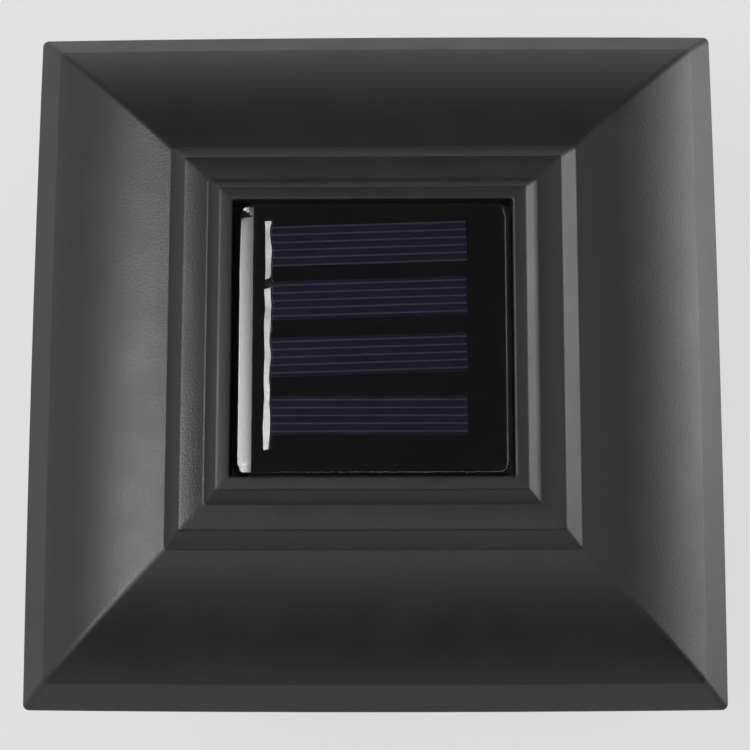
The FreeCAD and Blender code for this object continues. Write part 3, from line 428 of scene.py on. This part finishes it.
# How far the steps' outer edges stand above the CAD's plain ones, and how far the shelf's
# inner edge lies below it.
shelf_lift, shelf_sink, bezel_lift = 0.5 * MM, 0.1 * MM, 0.2 * MM
# The radii of the moulding's edges.
SOFT, MEDIUM, FINE, CRISP, SHARP = 0.8 * MM, 0.5 * MM, 0.4 * MM, 0.3 * MM, 0.0

roof_low, roof_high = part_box("roof_shell")
board_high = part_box("panel_board")[1]
roof_half, roof_top, rim_bottom = roof_high.x, roof_high.z, roof_low.z
rim_half, rim_top = roof_half - rim_inset, rim_bottom + rim_height
recess_half, recess_floor = board_high.x + panel_gap, roof_top - recess_depth
bezel_half, bezel_edge = recess_half + bezel_width, roof_top - bezel_fall
shelf_in, shelf_top = bezel_half + bezel_inset, bezel_edge - bezel_rise
shelf_out, step_top = shelf_in + shelf_width, shelf_top - shelf_fall
step_half, slope_top = shelf_out + step_inset, step_top - step_rise


def bulging(start, end, bulge, parts):
    """Points on the arc from start to end that stands out by bulge at its middle, ends left out."""
    a, b = np.array(start), np.array(end)
    run = b - a
    half = np.linalg.norm(run) / 2
    radius = (half * half + bulge * bulge) / (2 * bulge)
    outwards = np.array([-run[1], run[0]]) / (2 * half)
    if outwards[1] < 0:
        outwards = -outwards
    centre = (a + b) / 2 - outwards * (radius - bulge)
    sweep = math.asin(half / radius)
    along = run / (2 * half)
    angles = [sweep * (2 * i / parts - 1) for i in range(1, parts)]
    return [(*(centre + radius * (along * math.sin(t) + outwards * math.cos(t))), SHARP) for t in angles]


under_rim = (rim_half - roof_wall, rim_top - roof_wall / 2)
under_step = (step_half - roof_wall / 2, slope_top - roof_wall)
shelf_start, shelf_end = (shelf_out, step_top + shelf_lift), (shelf_in, shelf_top - shelf_sink)
bezel_start, bezel_end = (bezel_half, bezel_edge + bezel_lift), (recess_half, roof_top)
# Each corner of the section: half-width, height, and how far it is rounded. The rim's lower
# corner is drawn further out, so that its rounded lip ends where the roof does.
section = [(roof_half + 0.93 * MEDIUM, rim_bottom, MEDIUM), (rim_half, rim_top, SOFT)]
section += bulging((rim_half, rim_top), (step_half, slope_top), slope_bulge, slope_parts)
section += [(step_half, slope_top, CRISP), (*shelf_start, SOFT)]
skin_line = sorted((x, z) for x, z, _ in section)
section += bulging(shelf_start, shelf_end, shelf_bulge, shelf_parts)
section += [(*shelf_end, CRISP), (*bezel_start, SOFT)]
section += bulging(bezel_start, bezel_end, bezel_bulge, bezel_parts)
section += [
    (*bezel_end, FINE),
    (recess_half, recess_floor - roof_wall, SHARP),
    (recess_half + roof_wall, recess_floor - roof_wall, FINE),
    (recess_half + roof_wall, shelf_top - roof_wall, FINE),
    (shelf_in - roof_wall / 2, shelf_top - roof_wall, SHARP),
    (shelf_out - roof_wall / 2, step_top - roof_wall, MEDIUM),
    (*under_step, FINE),
]
section += bulging(under_step, under_rim, slope_bulge, slope_parts)
section += [(*under_rim, SOFT), (roof_half - roof_wall, rim_bottom, FINE)]

line = bpy.data.meshes.new("roof_section")
count = len(section)
line.from_pydata([(x, 0, z) for x, z, _ in section], [(i, (i + 1) % count) for i in range(count)], [])
line.attributes.new("rounding", "FLOAT", "POINT").data.foreach_set("value", [r for _, _, r in section])
section_line = bpy.data.objects.new("roof_section", line)
scene.collection.objects.link(section_line)

sweep, given, result = node_group(
    "square_sweep",
    [
        ("Geometry", "Geometry", None), ("Inner Half", "Float", 0.03), ("Outer Half", "Float", 0.08),
        ("Inner Corner", "Float", 0.001), ("Outer Corner", "Float", 0.002), ("Side Bow", "Float", 0.0),
        ("Finish", "Material", None),
    ],
    [("Geometry", "Geometry")],
    kind="GeometryNodeTree",
)
edge_parts, corner_parts, side_parts = 5, 6, 10
parts_each = float(corner_parts + side_parts)
quarter = math.pi / 2


def capture(tree, geometry, kind, field):
    """Stores a field on the points of a curve. Returns the curve and the stored field."""
    node = tree.nodes.new("GeometryNodeCaptureAttribute")
    node.domain = "POINT"
    node.capture_items.new(kind, "stored")
    tree.links.new(geometry, node.inputs["Geometry"])
    tree.links.new(field, node.inputs["stored"])
    return node.outputs["Geometry"], node.outputs["stored"]


def added(tree, a, b):
    return place(tree, "ShaderNodeVectorMath", {0: a, 1: b}, operation="ADD").outputs["Vector"]


def scaled(tree, vector, factor):
    return place(tree, "ShaderNodeVectorMath", {0: vector, "Scale": factor}, operation="SCALE").outputs[0]


def heading(tree, angle):
    """The level way at an angle."""
    x, y = maths(tree, "COSINE", angle), maths(tree, "SINE", angle)
    return place(tree, "ShaderNodeCombineXYZ", {"X": x, "Y": y}).outputs[0]


tree = sweep
radius = place(tree, "GeometryNodeInputNamedAttribute", {"Name": "rounding"}, data_type="FLOAT")
curve = place(tree, "GeometryNodeMeshToCurve", {"Mesh": given["Geometry"]})
rounding = {"Count": edge_parts, "Radius": radius.outputs["Attribute"], "Limit Radius": True}
eased = place(tree, "GeometryNodeFilletCurve", {"Curve": curve.outputs[0], **rounding}, mode="POLY")
spot = place(tree, "GeometryNodeInputPosition").outputs[0]
profile, profile_spot = capture(tree, eased.outputs[0], "VECTOR", spot)

# A ring of points, of which each side of the square has some in its corner and some along it.
ring = place(tree, "GeometryNodeCurvePrimitiveCircle", {"Resolution": 4 * int(parts_each)}, mode="RADIUS")
index = place(tree, "GeometryNodeInputIndex").outputs[0]
side = maths(tree, "FLOOR", maths(tree, "DIVIDE", index, parts_each))
step = maths(tree, "SUBTRACT", index, maths(tree, "MULTIPLY", side, parts_each))
in_corner = maths(tree, "MINIMUM", step, float(corner_parts))
past_corner = maths(tree, "MAXIMUM", maths(tree, "SUBTRACT", step, float(corner_parts)), 0.0)
on_side = maths(tree, "DIVIDE", past_corner, float(side_parts))
side_angle = maths(tree, "MULTIPLY", side, quarter)
angle = maths(tree, "ADD", side_angle, maths(tree, "MULTIPLY", in_corner, quarter / corner_parts))
this_angle = maths(tree, "ADD", side_angle, quarter / 2)
outward = heading(tree, angle)
this_corner = scaled(tree, heading(tree, this_angle), math.sqrt(2))
next_corner = scaled(tree, heading(tree, maths(tree, "ADD", this_angle, quarter)), math.sqrt(2))
reach = place(tree, "ShaderNodeMix", {0: on_side, 4: this_corner, 5: next_corner}, data_type="VECTOR")
# 0 at the corners and 1 halfway along a side.
bow = maths(tree, "MULTIPLY", maths(tree, "MULTIPLY", on_side, maths(tree, "SUBTRACT", 1.0, on_side)), 4.0)
loop, outward = capture(tree, ring.outputs["Curve"], "VECTOR", outward)
loop, reach = capture(tree, loop, "VECTOR", reach.outputs[1])
loop, bow = capture(tree, loop, "FLOAT", bow)

skin = place(tree, "GeometryNodeCurveToMesh", {"Curve": loop, "Profile Curve": profile})
at = place(tree, "ShaderNodeSeparateXYZ", {0: profile_spot}).outputs
share = spread(tree, at["X"], given["Inner Half"], given["Outer Half"])
corner = spread(tree, share, 0.0, 1.0, given["Inner Corner"], given["Outer Corner"])
swell = maths(tree, "MULTIPLY", maths(tree, "MULTIPLY", share, share), given["Side Bow"])
straight = maths(tree, "SUBTRACT", maths(tree, "SUBTRACT", at["X"], swell), corner)
beyond = maths(tree, "ADD", corner, maths(tree, "MULTIPLY", swell, bow))
flat_spot = added(tree, scaled(tree, reach, straight), scaled(tree, outward, beyond))
lifted = place(tree, "ShaderNodeCombineXYZ", {"Z": at["Z"]}).outputs[0]
wrapped = added(tree, flat_spot, lifted)
moved = place(tree, "GeometryNodeSetPosition", {"Geometry": skin.outputs[0], "Position": wrapped})
merged = place(tree, "GeometryNodeMergeByDistance", {"Geometry": moved.outputs[0], "Distance": 1e-6})
smooth = place(tree, "GeometryNodeSetShadeSmooth", {"Geometry": merged.outputs[0]})
real = place(tree, "GeometryNodeRealizeInstances", {"Geometry": smooth.outputs[0]})
painted = place(tree, "GeometryNodeSetMaterial", {"Geometry": real.outputs[0], "Material": given["Finish"]})
tree.links.new(painted.outputs[0], result["Geometry"])


def grown(name, host, tree, values):
    """Runs a node tree on a host object and returns the result as a plain mesh object."""
    maker = host.modifiers.new("make", "NODES")
    maker.node_group = tree
    for item in tree.interface.items_tree:
        if item.in_out == "INPUT" and item.name in values:
            maker[item.identifier] = values[item.name]
    host.update_tag()
    bpy.context.view_layer.update()
    ready = host.evaluated_get(bpy.context.evaluated_depsgraph_get())
    mesh = bpy.data.meshes.new_from_object(ready)
    mesh.name = name
    host.modifiers.clear()
    bpy.data.objects.remove(host)
    made = bpy.data.objects.new(name, mesh)
    scene.collection.objects.link(made)
    return made


roof_black = moulding("roof_black", colour=(0.0040, 0.0040, 0.0042, 1), light=(0.0065, 0.0065, 0.0068, 1),
                      roughness=0.43, grain=0.48, relief=0.033 * MM, edge=0.7 * MM, rub=0.30, IOR=1.57)
roof = grown("roof", section_line, sweep, {
    "Inner Half": recess_half, "Outer Half": roof_half, "Inner Corner": 0.5 * MM, "Outer Corner": 1.4 * MM,
    "Side Bow": 0.45 * MM, "Finish": roof_black,
})
shape = bmesh.new()
shape.from_mesh(roof.data)
bmesh.ops.recalc_face_normals(shape, faces=shape.faces)

# Walls and bosses that stand under the roof, their tops sunk in its wall.
in_wall = 0.55 * roof_wall
seat_inset, seat_wall = 1.5 * MM, 2.5 * MM
spigot_inset, spigot_wall, spigot_depth = 6.3 * MM, 2.2 * MM, 5 * MM
wall_end_gap = 8 * MM
screw_head, screw_radius, screw_depth = 2.6 * MM, 1.3 * MM, 10 * MM
boss_radius, boss_parts = 3 * MM, 20
hole_radius, hole_parts = 4 * MM, 32


def skin_height(x, y):
    """Height of the middle of the roof's wall above a point."""
    half = max(abs(x), abs(y))
    return float(np.interp(half, [p[0] for p in skin_line], [p[1] for p in skin_line])) - in_wall


def circle(x, y, radius, parts):
    turns = [2 * math.pi * i / parts for i in range(parts)]
    return [(x + radius * math.cos(t), y + radius * math.sin(t)) for t in turns]


def level_points(shape, outline, height):
    return [shape.verts.new((x, y, height)) for x, y in outline]


def skin_points(shape, outline):
    return [shape.verts.new((x, y, skin_height(x, y))) for x, y in outline]


frame_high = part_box("window_frame")[1]
frame_half, frame_top = frame_high.x, frame_high.z
seat = (frame_half - seat_inset, seat_wall, frame_top)
spigot = (frame_half - spigot_inset, spigot_wall, frame_top - spigot_depth)
for outer_half, thickness, low in (seat, spigot):
    reach, inner_half = outer_half - wall_end_gap, outer_half - thickness
    outline = [(-reach, inner_half), (reach, inner_half), (reach, outer_half), (-reach, outer_half)]
    for turn in range(4):
        c, s = round(math.cos(turn * quarter)), round(math.sin(turn * quarter))
        turned = [(x * c - y * s, x * s + y * c) for x, y in outline]
        bottom, upper = level_points(shape, turned, low), skin_points(shape, turned)
        shape.faces.new(bottom[::-1])
        shape.faces.new(upper)
        for i in range(4):
            j = (i + 1) % 4
            shape.faces.new((bottom[i], bottom[j], upper[j], upper[i]))

boss_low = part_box("reflector_plate")[1].z
screw_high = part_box("housing_screws")[1]
boss_x, boss_y = screw_high.x - screw_head, screw_high.y - screw_head
for x in (-boss_x, boss_x):
    for y in (-boss_y, boss_y):
        outside, inside = (circle(x, y, radius, boss_parts) for radius in (boss_radius, screw_radius))
        low_out, top_out = level_points(shape, outside, boss_low), skin_points(shape, outside)
        low_in = level_points(shape, inside, boss_low)
        top_in = level_points(shape, inside, boss_low + screw_depth)
        shape.faces.new(top_out)
        shape.faces.new(top_in[::-1])
        for i in range(boss_parts):
            j = (i + 1) % boss_parts
            shape.faces.new((low_out[i], low_out[j], top_out[j], top_out[i]))
            shape.faces.new((low_in[j], low_in[i], top_in[i], top_in[j]))
            shape.faces.new((low_in[i], low_in[j], low_out[j], low_out[i]))

# The recess floor, with the hole for the panel's leads.
lead_low, lead_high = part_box("panel_lead_red")
floor_half = recess_half + roof_wall / 2
floor_outline = [(x * floor_half, y * floor_half) for x, y in corners]
hole_outline = circle(0.0, (lead_low.y + lead_high.y) / 2, hole_radius, hole_parts)
floor_shape = bmesh.new()
loops = []
for outline in (floor_outline, hole_outline):
    verts = level_points(floor_shape, outline, recess_floor - roof_wall)
    loops += [floor_shape.edges.new((verts[i], verts[(i + 1) % len(verts)])) for i in range(len(verts))]
bmesh.ops.triangle_fill(floor_shape, edges=loops, use_beauty=True, use_dissolve=False)
for item in bmesh.ops.extrude_face_region(floor_shape, geom=floor_shape.faces[:])["geom"]:
    if isinstance(item, bmesh.types.BMVert):
        item.co.z = recess_floor
bmesh.ops.recalc_face_normals(floor_shape, faces=floor_shape.faces)
# The extrusion leaves its faces in another order on each run.
by_place = sorted(floor_shape.faces, key=lambda face: tuple(face.calc_center_median()))
for number, face in enumerate(by_place):
    face.index = number
floor_shape.faces.sort()
floor_mesh = bpy.data.meshes.new("recess_floor")
floor_shape.to_mesh(floor_mesh)
floor_shape.free()
shape.from_mesh(floor_mesh)
shape.to_mesh(roof.data)
shape.free()
weighted = roof.modifiers.new("flats", "WEIGHTED_NORMAL")
weighted.weight = 50
weighted.keep_sharp = False
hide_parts("roof_shell")
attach(roof, "head")


# --- Panel board ----------------------------------------------------------------------------
# The panel's board lies in the recess on a bead of clear sealant. Its face is lacquered
# near-black, with the faint weave of the glass cloth under the lacquer.

sealant = moulding("clear_sealant", colour=(0.60, 0.60, 0.57, 1), light=(0.72, 0.72, 0.69, 1),
                   roughness=0.35, grain=1.5, relief=0.1 * MM, rub=0.0)
dress(sealant, "panel_sealant")

board_black, tree, where = new_finish("board_black")
threads = [
    place(tree, "ShaderNodeTexWave", {"Vector": where, "Scale": 320.0, "Distortion": 0.6},
          wave_type="BANDS", bands_direction=axis).outputs["Fac"]
    for axis in "XY"
]
cloth = maths(tree, "MAXIMUM", *threads)
clouds = noise(tree, where, 90.0, 4.0)
tone = blend(tree, clouds, (0.0012, 0.0013, 0.0016, 1), (0.0034, 0.0035, 0.0042, 1))
finished(tree, tone, spread(tree, cloth, 0, 1, 0.45, 0.6), Specular_IOR_Level=0.04,
         Normal=bumped(tree, cloth, 0.03 * MM, 0.4))
dress(board_black, "panel_board")


# --- Solar cells ----------------------------------------------------------------------------
# Four strips of silicon laid by hand on the board, three of them a little askew. Each has
# thin printed silver fingers along it.

cells_low, cells_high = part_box("solar_cells")
cell_length, cell_width, cell_height = 43.8 * MM, 8.8 * MM, cells_high.z - cells_low.z
cell_middle = -0.9 * MM
cell_rows = [21.6 * MM, 9.2 * MM, -3.6 * MM, -17.2 * MM]
cell_tilts = [1.6, 1.6, 1.6, 0.0]
cell_fingers, cell_extra_fingers = 5, [1, 0, 0, 0]
finger_pitch, finger_width, finger_height = 1.75 * MM, 0.36 * MM, 0.02 * MM
# A finger's share of the cell's length, and the share of its height at which its middle lies.
finger_run, finger_rest = 0.992, 0.4

silicon, tree, where = new_finish("silicon")
crystal = place(tree, "ShaderNodeTexVoronoi", {"Vector": where, "Scale": 260.0}).outputs["Color"]
cloud = noise(tree, where, 70.0, 3.0)
facets = place(tree, "ShaderNodeSeparateColor", {0: crystal}).outputs[0]
tone = blend(tree, cloud, (0.0032, 0.0042, 0.0125, 1), (0.0052, 0.0066, 0.0185, 1))
tone = blend(tree, maths(tree, "MULTIPLY", facets, 0.35), tone, (0.0065, 0.0085, 0.0220, 1))
finished(tree, tone, spread(tree, facets, 0, 1, 0.36, 0.5), Specular_IOR_Level=0.06,
         Normal=bumped(tree, cloud, 0.01 * MM, 0.15))
finger_silver, tree, where = new_finish("finger_silver")
paste = noise(tree, where, 1500.0, 3.0)
tone = blend(tree, paste, (0.020, 0.022, 0.034, 1), (0.034, 0.037, 0.054, 1))
finished(tree, tone, spread(tree, paste, 0.3, 0.7, 0.4, 0.6), Specular_IOR_Level=0.06)

rows = bpy.data.meshes.new("cell_rows")
rows.from_pydata([(cell_middle, y, cells_low.z) for y in cell_rows], [], [])
rows.attributes.new("tilt", "FLOAT", "POINT").data.foreach_set("value", [math.radians(t) for t in cell_tilts])
rows.attributes.new("extra", "INT", "POINT").data.foreach_set("value", cell_extra_fingers)
row_points = bpy.data.objects.new("cell_rows", rows)
scene.collection.objects.link(row_points)
lay, given, result = node_group(
    "laid_cells",
    [
        ("Geometry", "Geometry", None), ("Length", "Float", None), ("Width", "Float", None),
        ("Thickness", "Float", None), ("Finger Pitch", "Float", None), ("Finger Width", "Float", None),
        ("Finger Height", "Float", None), ("Fingers", "Int", None), ("Silicon", "Material", None),
        ("Silver", "Material", None),
    ],
    [("Geometry", "Geometry")],
    kind="GeometryNodeTree",
)
tree = lay


def slab(tree, x, y, z, centre_z, finish):
    """A flat bar of a finish, with its middle at a height."""
    size = place(tree, "ShaderNodeCombineXYZ", {"X": x, "Y": y, "Z": z}).outputs[0]
    cube = place(tree, "GeometryNodeMeshCube", {"Size": size})
    shift = place(tree, "ShaderNodeCombineXYZ", {"Z": centre_z}).outputs[0]
    put = place(tree, "GeometryNodeTransform", {"Geometry": cube.outputs["Mesh"], "Translation": shift})
    return place(tree, "GeometryNodeSetMaterial", {"Geometry": put.outputs[0], "Material": finish}).outputs[0]


thick = given["Thickness"]
wafer_z = maths(tree, "MULTIPLY", thick, 0.5)
wafer = slab(tree, given["Length"], given["Width"], thick, wafer_z, given["Silicon"])
finger_z = maths(tree, "ADD", thick, maths(tree, "MULTIPLY", given["Finger Height"], finger_rest))
finger_x = maths(tree, "MULTIPLY", given["Length"], finger_run)
finger = slab(tree, finger_x, given["Finger Width"], given["Finger Height"], finger_z, given["Silver"])
# Two kinds of strip to pick from. The last one joined is the first to pick.
strips = place(tree, "GeometryNodeJoinGeometry")
for extra in (1.0, 0.0):
    count = maths(tree, "ADD", given["Fingers"], extra)
    span = maths(tree, "MULTIPLY", maths(tree, "SUBTRACT", count, 1.0), given["Finger Pitch"])
    first = place(tree, "ShaderNodeCombineXYZ", {"Y": maths(tree, "MULTIPLY", span, -0.5)}).outputs[0]
    stride = place(tree, "ShaderNodeCombineXYZ", {"Y": given["Finger Pitch"]}).outputs[0]
    comb = place(tree, "GeometryNodeMeshLine", {"Count": count, "Start Location": first, "Offset": stride},
                 mode="OFFSET")
    fingers = place(tree, "GeometryNodeInstanceOnPoints", {"Points": comb.outputs[0], "Instance": finger})
    strip = place(tree, "GeometryNodeJoinGeometry")
    for part in (wafer, fingers.outputs[0]):
        tree.links.new(part, strip.inputs[0])
    packed = place(tree, "GeometryNodeGeometryToInstance", {0: strip.outputs[0]})
    tree.links.new(packed.outputs[0], strips.inputs[0])
tilt = place(tree, "GeometryNodeInputNamedAttribute", {"Name": "tilt"}, data_type="FLOAT").outputs["Attribute"]
extra = place(tree, "GeometryNodeInputNamedAttribute", {"Name": "extra"}, data_type="INT").outputs["Attribute"]
lean = place(tree, "ShaderNodeCombineXYZ", {"Z": tilt}).outputs[0]
laid = place(tree, "GeometryNodeInstanceOnPoints", {
    "Points": given["Geometry"], "Instance": strips.outputs[0], "Pick Instance": True, "Instance Index": extra,
    "Rotation": lean,
})
real = place(tree, "GeometryNodeRealizeInstances", {"Geometry": laid.outputs[0]})
tree.links.new(real.outputs[0], result["Geometry"])
cells = grown("cell_strips", row_points, lay, {
    "Length": cell_length, "Width": cell_width, "Thickness": cell_height, "Finger Pitch": finger_pitch,
    "Finger Width": finger_width, "Finger Height": finger_height, "Fingers": cell_fingers,
    "Silicon": silicon, "Silver": finger_silver,
})
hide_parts("solar_cells")
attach(cells, "head")


# --- Panel resin ----------------------------------------------------------------------------
# Clear epoxy poured over the cells and the board. It rolls off gently at the left, sharply at
# the other edges, and has set with an uneven ridge beside the left ends of the cells.

resin_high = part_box("panel_resin")[1]
resin_half = resin_high.x
resin_top = resin_high.z + 1.0 * MM
resin_bottom = board_high.z - 0.05 * MM
corner_radius = 3.0 * MM
roll, roll_steepness, left_steepness = 0.8 * MM, 1.8, 2.0
# The left side falls away from left_start out, at the first tilt and in the end at the second.
left_start, left_ease = 25.5 * MM, 0.4 * MM
left_tilts = math.radians(10.8), math.radians(17.0)
ridge_foot, ridge_crest, ridge_fall = -23.75 * MM, -22.35 * MM, 0.25 * MM
ridge_tilt, tilt_change = math.radians(17.5), math.radians(1.5)
ridge_back, ridge_front, ridge_end = 27.0 * MM, -25.5 * MM, 0.5 * MM
foot_shift, crest_shift, ripple_shift = 0.16 * MM, 0.20 * MM, 0.14 * MM
# How many steps each of these has along the panel, and its first number among the random ones.
foot_steps, crest_steps, ripple_steps, tilt_steps = (18, 0), (26, 20), (55, 60), (16, 100)
random.seed(109)
wander = [random.uniform(-1, 1) for _ in range(120)]
resin_parts_x, resin_parts_y, ridge_parts = 90, 330, 42


def uneven(y, steps, first):
    """A smooth random value from -1 to 1 along the panel, with that many steps."""
    t = (y / resin_half + 1) / 2 * steps
    i = min(int(t), steps - 1)
    f = t - i
    f = f * f * (3 - 2 * f)
    return wander[first + i] * (1 - f) + wander[first + i + 1] * f


def resin_height(x, y):
    """Height of the resin's surface above a point."""
    height = resin_top
    edge = roll_steepness * (resin_half - max(abs(y), x))
    edge = min(edge, left_steepness * (resin_half + x))
    if edge < roll:
        height -= roll - math.sqrt(max(roll * roll - (roll - edge) ** 2, 0))
    fall = -x - left_start
    if fall > 0:
        steep, end = (math.tan(t) for t in left_tilts)
        ease = min(fall / left_ease, 1.0)
        height -= steep * fall * ease * (1 - 0.5 * ease * left_ease / max(fall, left_ease))
        height -= (end - steep) * fall * fall / (2 * (resin_half - left_start))
    if ridge_front < y < ridge_back:
        ends = min(1.0, min(ridge_back - y, y - ridge_front) / ridge_end)
        foot = ridge_foot + foot_shift * uneven(y, *foot_steps)
        crest = ridge_crest + crest_shift * uneven(y, *crest_steps) + ripple_shift * uneven(y, *ripple_steps)
        rise = math.tan(ridge_tilt + tilt_change * uneven(y, *tilt_steps)) * ends
        if foot < x < crest:
            height += rise * (x - foot)
        elif crest <= x < crest + ridge_fall:
            height += rise * (crest - foot) * (1 - (x - crest) / ridge_fall)
    return height


def rounded(x, y):
    """Moves a point of the square grid so that the grid's corners are rounded."""
    inner = resin_half - corner_radius
    u, v = (abs(x) - inner) / corner_radius, (abs(y) - inner) / corner_radius
    if u <= 0 or v <= 0:
        return x, y
    radius = corner_radius * max(u, v) / math.hypot(u, v)
    return math.copysign(inner + u * radius, x), math.copysign(inner + v * radius, y)


ridge_lines = np.linspace(ridge_foot - 0.5 * MM, ridge_crest + 0.8 * MM, ridge_parts)[1:-1]
xs = np.sort(np.concatenate([np.linspace(-resin_half, resin_half, resin_parts_x + 1), ridge_lines]))
ys = np.linspace(-resin_half, resin_half, resin_parts_y + 1)
points = [(*rounded(x, y), resin_height(x, y)) for y in ys for x in xs]
wide, long = len(xs), len(ys)
faces = []
for j in range(long - 1):
    for i in range(wide - 1):
        a = j * wide + i
        faces.append((a, a + 1, a + 1 + wide, a + wide))
border = list(range(wide)) + [j * wide + wide - 1 for j in range(1, long)]
border += [(long - 1) * wide + i for i in range(wide - 2, -1, -1)] + [j * wide for j in range(long - 2, 0, -1)]
under = len(points)
points += [(points[b][0], points[b][1], resin_bottom) for b in border]
for k, b in enumerate(border):
    n = (k + 1) % len(border)
    faces.append((b, under + k, under + n, border[n]))
faces.append(tuple(under + k for k in range(len(border) - 1, -1, -1)))
resin = mesh_object("resin", points, faces, smooth=True)
clear, tree, where = new_finish("clear_resin")
swirl = noise(tree, where, 60.0, 2.0)
normal = bumped(tree, swirl, 0.04 * MM, 0.15)
shine = spread(tree, swirl, 0.3, 0.7, 0.02, 0.05)
body = place(tree, "ShaderNodeBsdfPrincipled", {
    "Base Color": (0.98, 0.98, 0.97, 1), "Roughness": shine, "Transmission Weight": 1.0, "IOR": 1.56,
    "Normal": normal,
})
rays = place(tree, "ShaderNodeLightPath").outputs
through = place(tree, "ShaderNodeBsdfTransparent", {"Color": (0.95, 0.95, 0.95, 1)})
both = place(tree, "ShaderNodeMixShader", {0: rays["Is Shadow Ray"], 1: body.outputs[0], 2: through.outputs[0]})
place(tree, "ShaderNodeOutputMaterial", {"Surface": both.outputs[0]})
resin.data.materials.append(clear)
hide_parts("panel_resin")
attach(resin, "head")


# --- Light housing --------------------------------------------------------------------------
# The box under the roof that holds the cell, the board and the LEDs, with its battery door and
# switch, and the white plate round it that throws the light down and out. All are moulded.

housing_grey = moulding("housing_grey", colour=(0.030, 0.030, 0.031, 1), light=(0.045, 0.045, 0.046, 1),
                        roughness=0.5, grain=0.5, relief=0.030 * MM)
dress(housing_grey, "light_housing", "battery_door", "switch_body")
reflector_white = moulding("reflector_white", colour=(0.74, 0.74, 0.72, 1), light=(0.82, 0.82, 0.80, 1),
                           roughness=0.35, grain=0.8, relief=0.020 * MM, rub=0.2)
dress(reflector_white, "reflector_plate", "switch_knob")


# --- Circuit board --------------------------------------------------------------------------
# The controller board on the housing's standoffs: green lacquer over copper tracks, tinned
# pads, and the moulded and metal parts soldered on it.

board_green, tree, where = new_finish("board_green")
tracks = place(tree, "ShaderNodeTexVoronoi", {"Vector": where, "Scale": 160.0, "Randomness": 0.8},
               feature="DISTANCE_TO_EDGE", distance="EUCLIDEAN")
pads = place(tree, "ShaderNodeTexVoronoi", {"Vector": where, "Scale": 280.0, "Randomness": 0.4})
track = spread(tree, tracks.outputs["Distance"], 0.04, 0.08, 1.0, 0.0)
pad = spread(tree, pads.outputs["Distance"], 0.16, 0.20, 1.0, 0.0)
tone = blend(tree, track, (0.008, 0.085, 0.030, 1), (0.020, 0.150, 0.055, 1))
tone = blend(tree, pad, tone, (0.55, 0.54, 0.50, 1))
normal = bumped(tree, maths(tree, "ADD", track, pad), 0.04 * MM, 0.6)
finished(tree, tone, spread(tree, pad, 0, 1, 0.32, 0.25), Metallic=pad, Normal=normal)
dress(board_green, "circuit_board")
part_black = moulding("part_black", colour=(0.022, 0.022, 0.024, 1), light=(0.045, 0.045, 0.048, 1),
                      roughness=0.42, grain=0.3, relief=0.010 * MM, edge=0.3 * MM)
dress(part_black, "board_components")


# --- LEDs -----------------------------------------------------------------------------------
# One warm white LED towards each pane, pushed through the housing's wall, its legs bent up
# to the board. The lens is clear epoxy with the yellow phosphor inside.

lens_clear, tree, where = new_finish("led_lens")
cloud = noise(tree, where, 500.0, 2.0)
tone = blend(tree, cloud, (0.90, 0.74, 0.32, 1), (0.95, 0.90, 0.72, 1))
finished(tree, tone, spread(tree, cloud, 0.3, 0.7, 0.08, 0.16), Transmission_Weight=0.5, IOR=1.5)
dress(lens_clear, "led_front", "led_back", "led_left", "led_right")


# --- Battery --------------------------------------------------------------------------------
# One rechargeable AA cell in a plain shrink sleeve, between two plated spring contacts. The
# sleeve leaves the metal bare at both ends.

pole_height, bare_end, bare_fade = 1.0 * MM, 0.9 * MM, 0.2 * MM

cell_low, cell_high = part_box("battery_cell")
sleeve, tree, where = new_finish("cell_sleeve")
along = place(tree, "ShaderNodeSeparateXYZ", {0: where}).outputs["X"]
from_left = maths(tree, "SUBTRACT", along, cell_low.x + pole_height)
from_right = maths(tree, "SUBTRACT", cell_high.x, along)
bare = spread(tree, maths(tree, "MINIMUM", from_left, from_right), bare_end, bare_end + bare_fade, 1.0, 0.0)
wrinkle = noise(tree, where, 120.0, 3.0)
tone = blend(tree, wrinkle, (0.020, 0.115, 0.060, 1), (0.030, 0.150, 0.085, 1))
tone = blend(tree, bare, tone, (0.60, 0.60, 0.60, 1))
normal = bumped(tree, wrinkle, 0.05 * MM, 0.3)
finished(tree, tone, spread(tree, wrinkle, 0.3, 0.7, 0.22, 0.34), Metallic=bare, Normal=normal)
dress(sleeve, "battery_cell")
contact_nickel = metal("contact_nickel", colour=(0.60, 0.57, 0.52, 1), dull=(0.45, 0.43, 0.40, 1),
                       roughness=0.25, streak=(1, 6, 1))
dress(contact_nickel, "contact_negative", "contact_positive", "door_hinge_pin")


# --- Leads ----------------------------------------------------------------------------------
# Thin stranded leads in soft plastic: red and black from the panel, black from the switch.

sleeving = {"roughness": 0.38, "grain": 0.6, "relief": 0.010 * MM, "edge": 0.2 * MM, "rub": 0.1}
lead_red = moulding("lead_red", (0.42, 0.012, 0.010, 1), (0.55, 0.022, 0.018, 1), **sleeving)
lead_black = moulding("lead_black", (0.013, 0.013, 0.014, 1), (0.025, 0.025, 0.026, 1), **sleeving)
dress(lead_red, "panel_lead_red")
dress(lead_black, "panel_lead_black", "switch_leads")
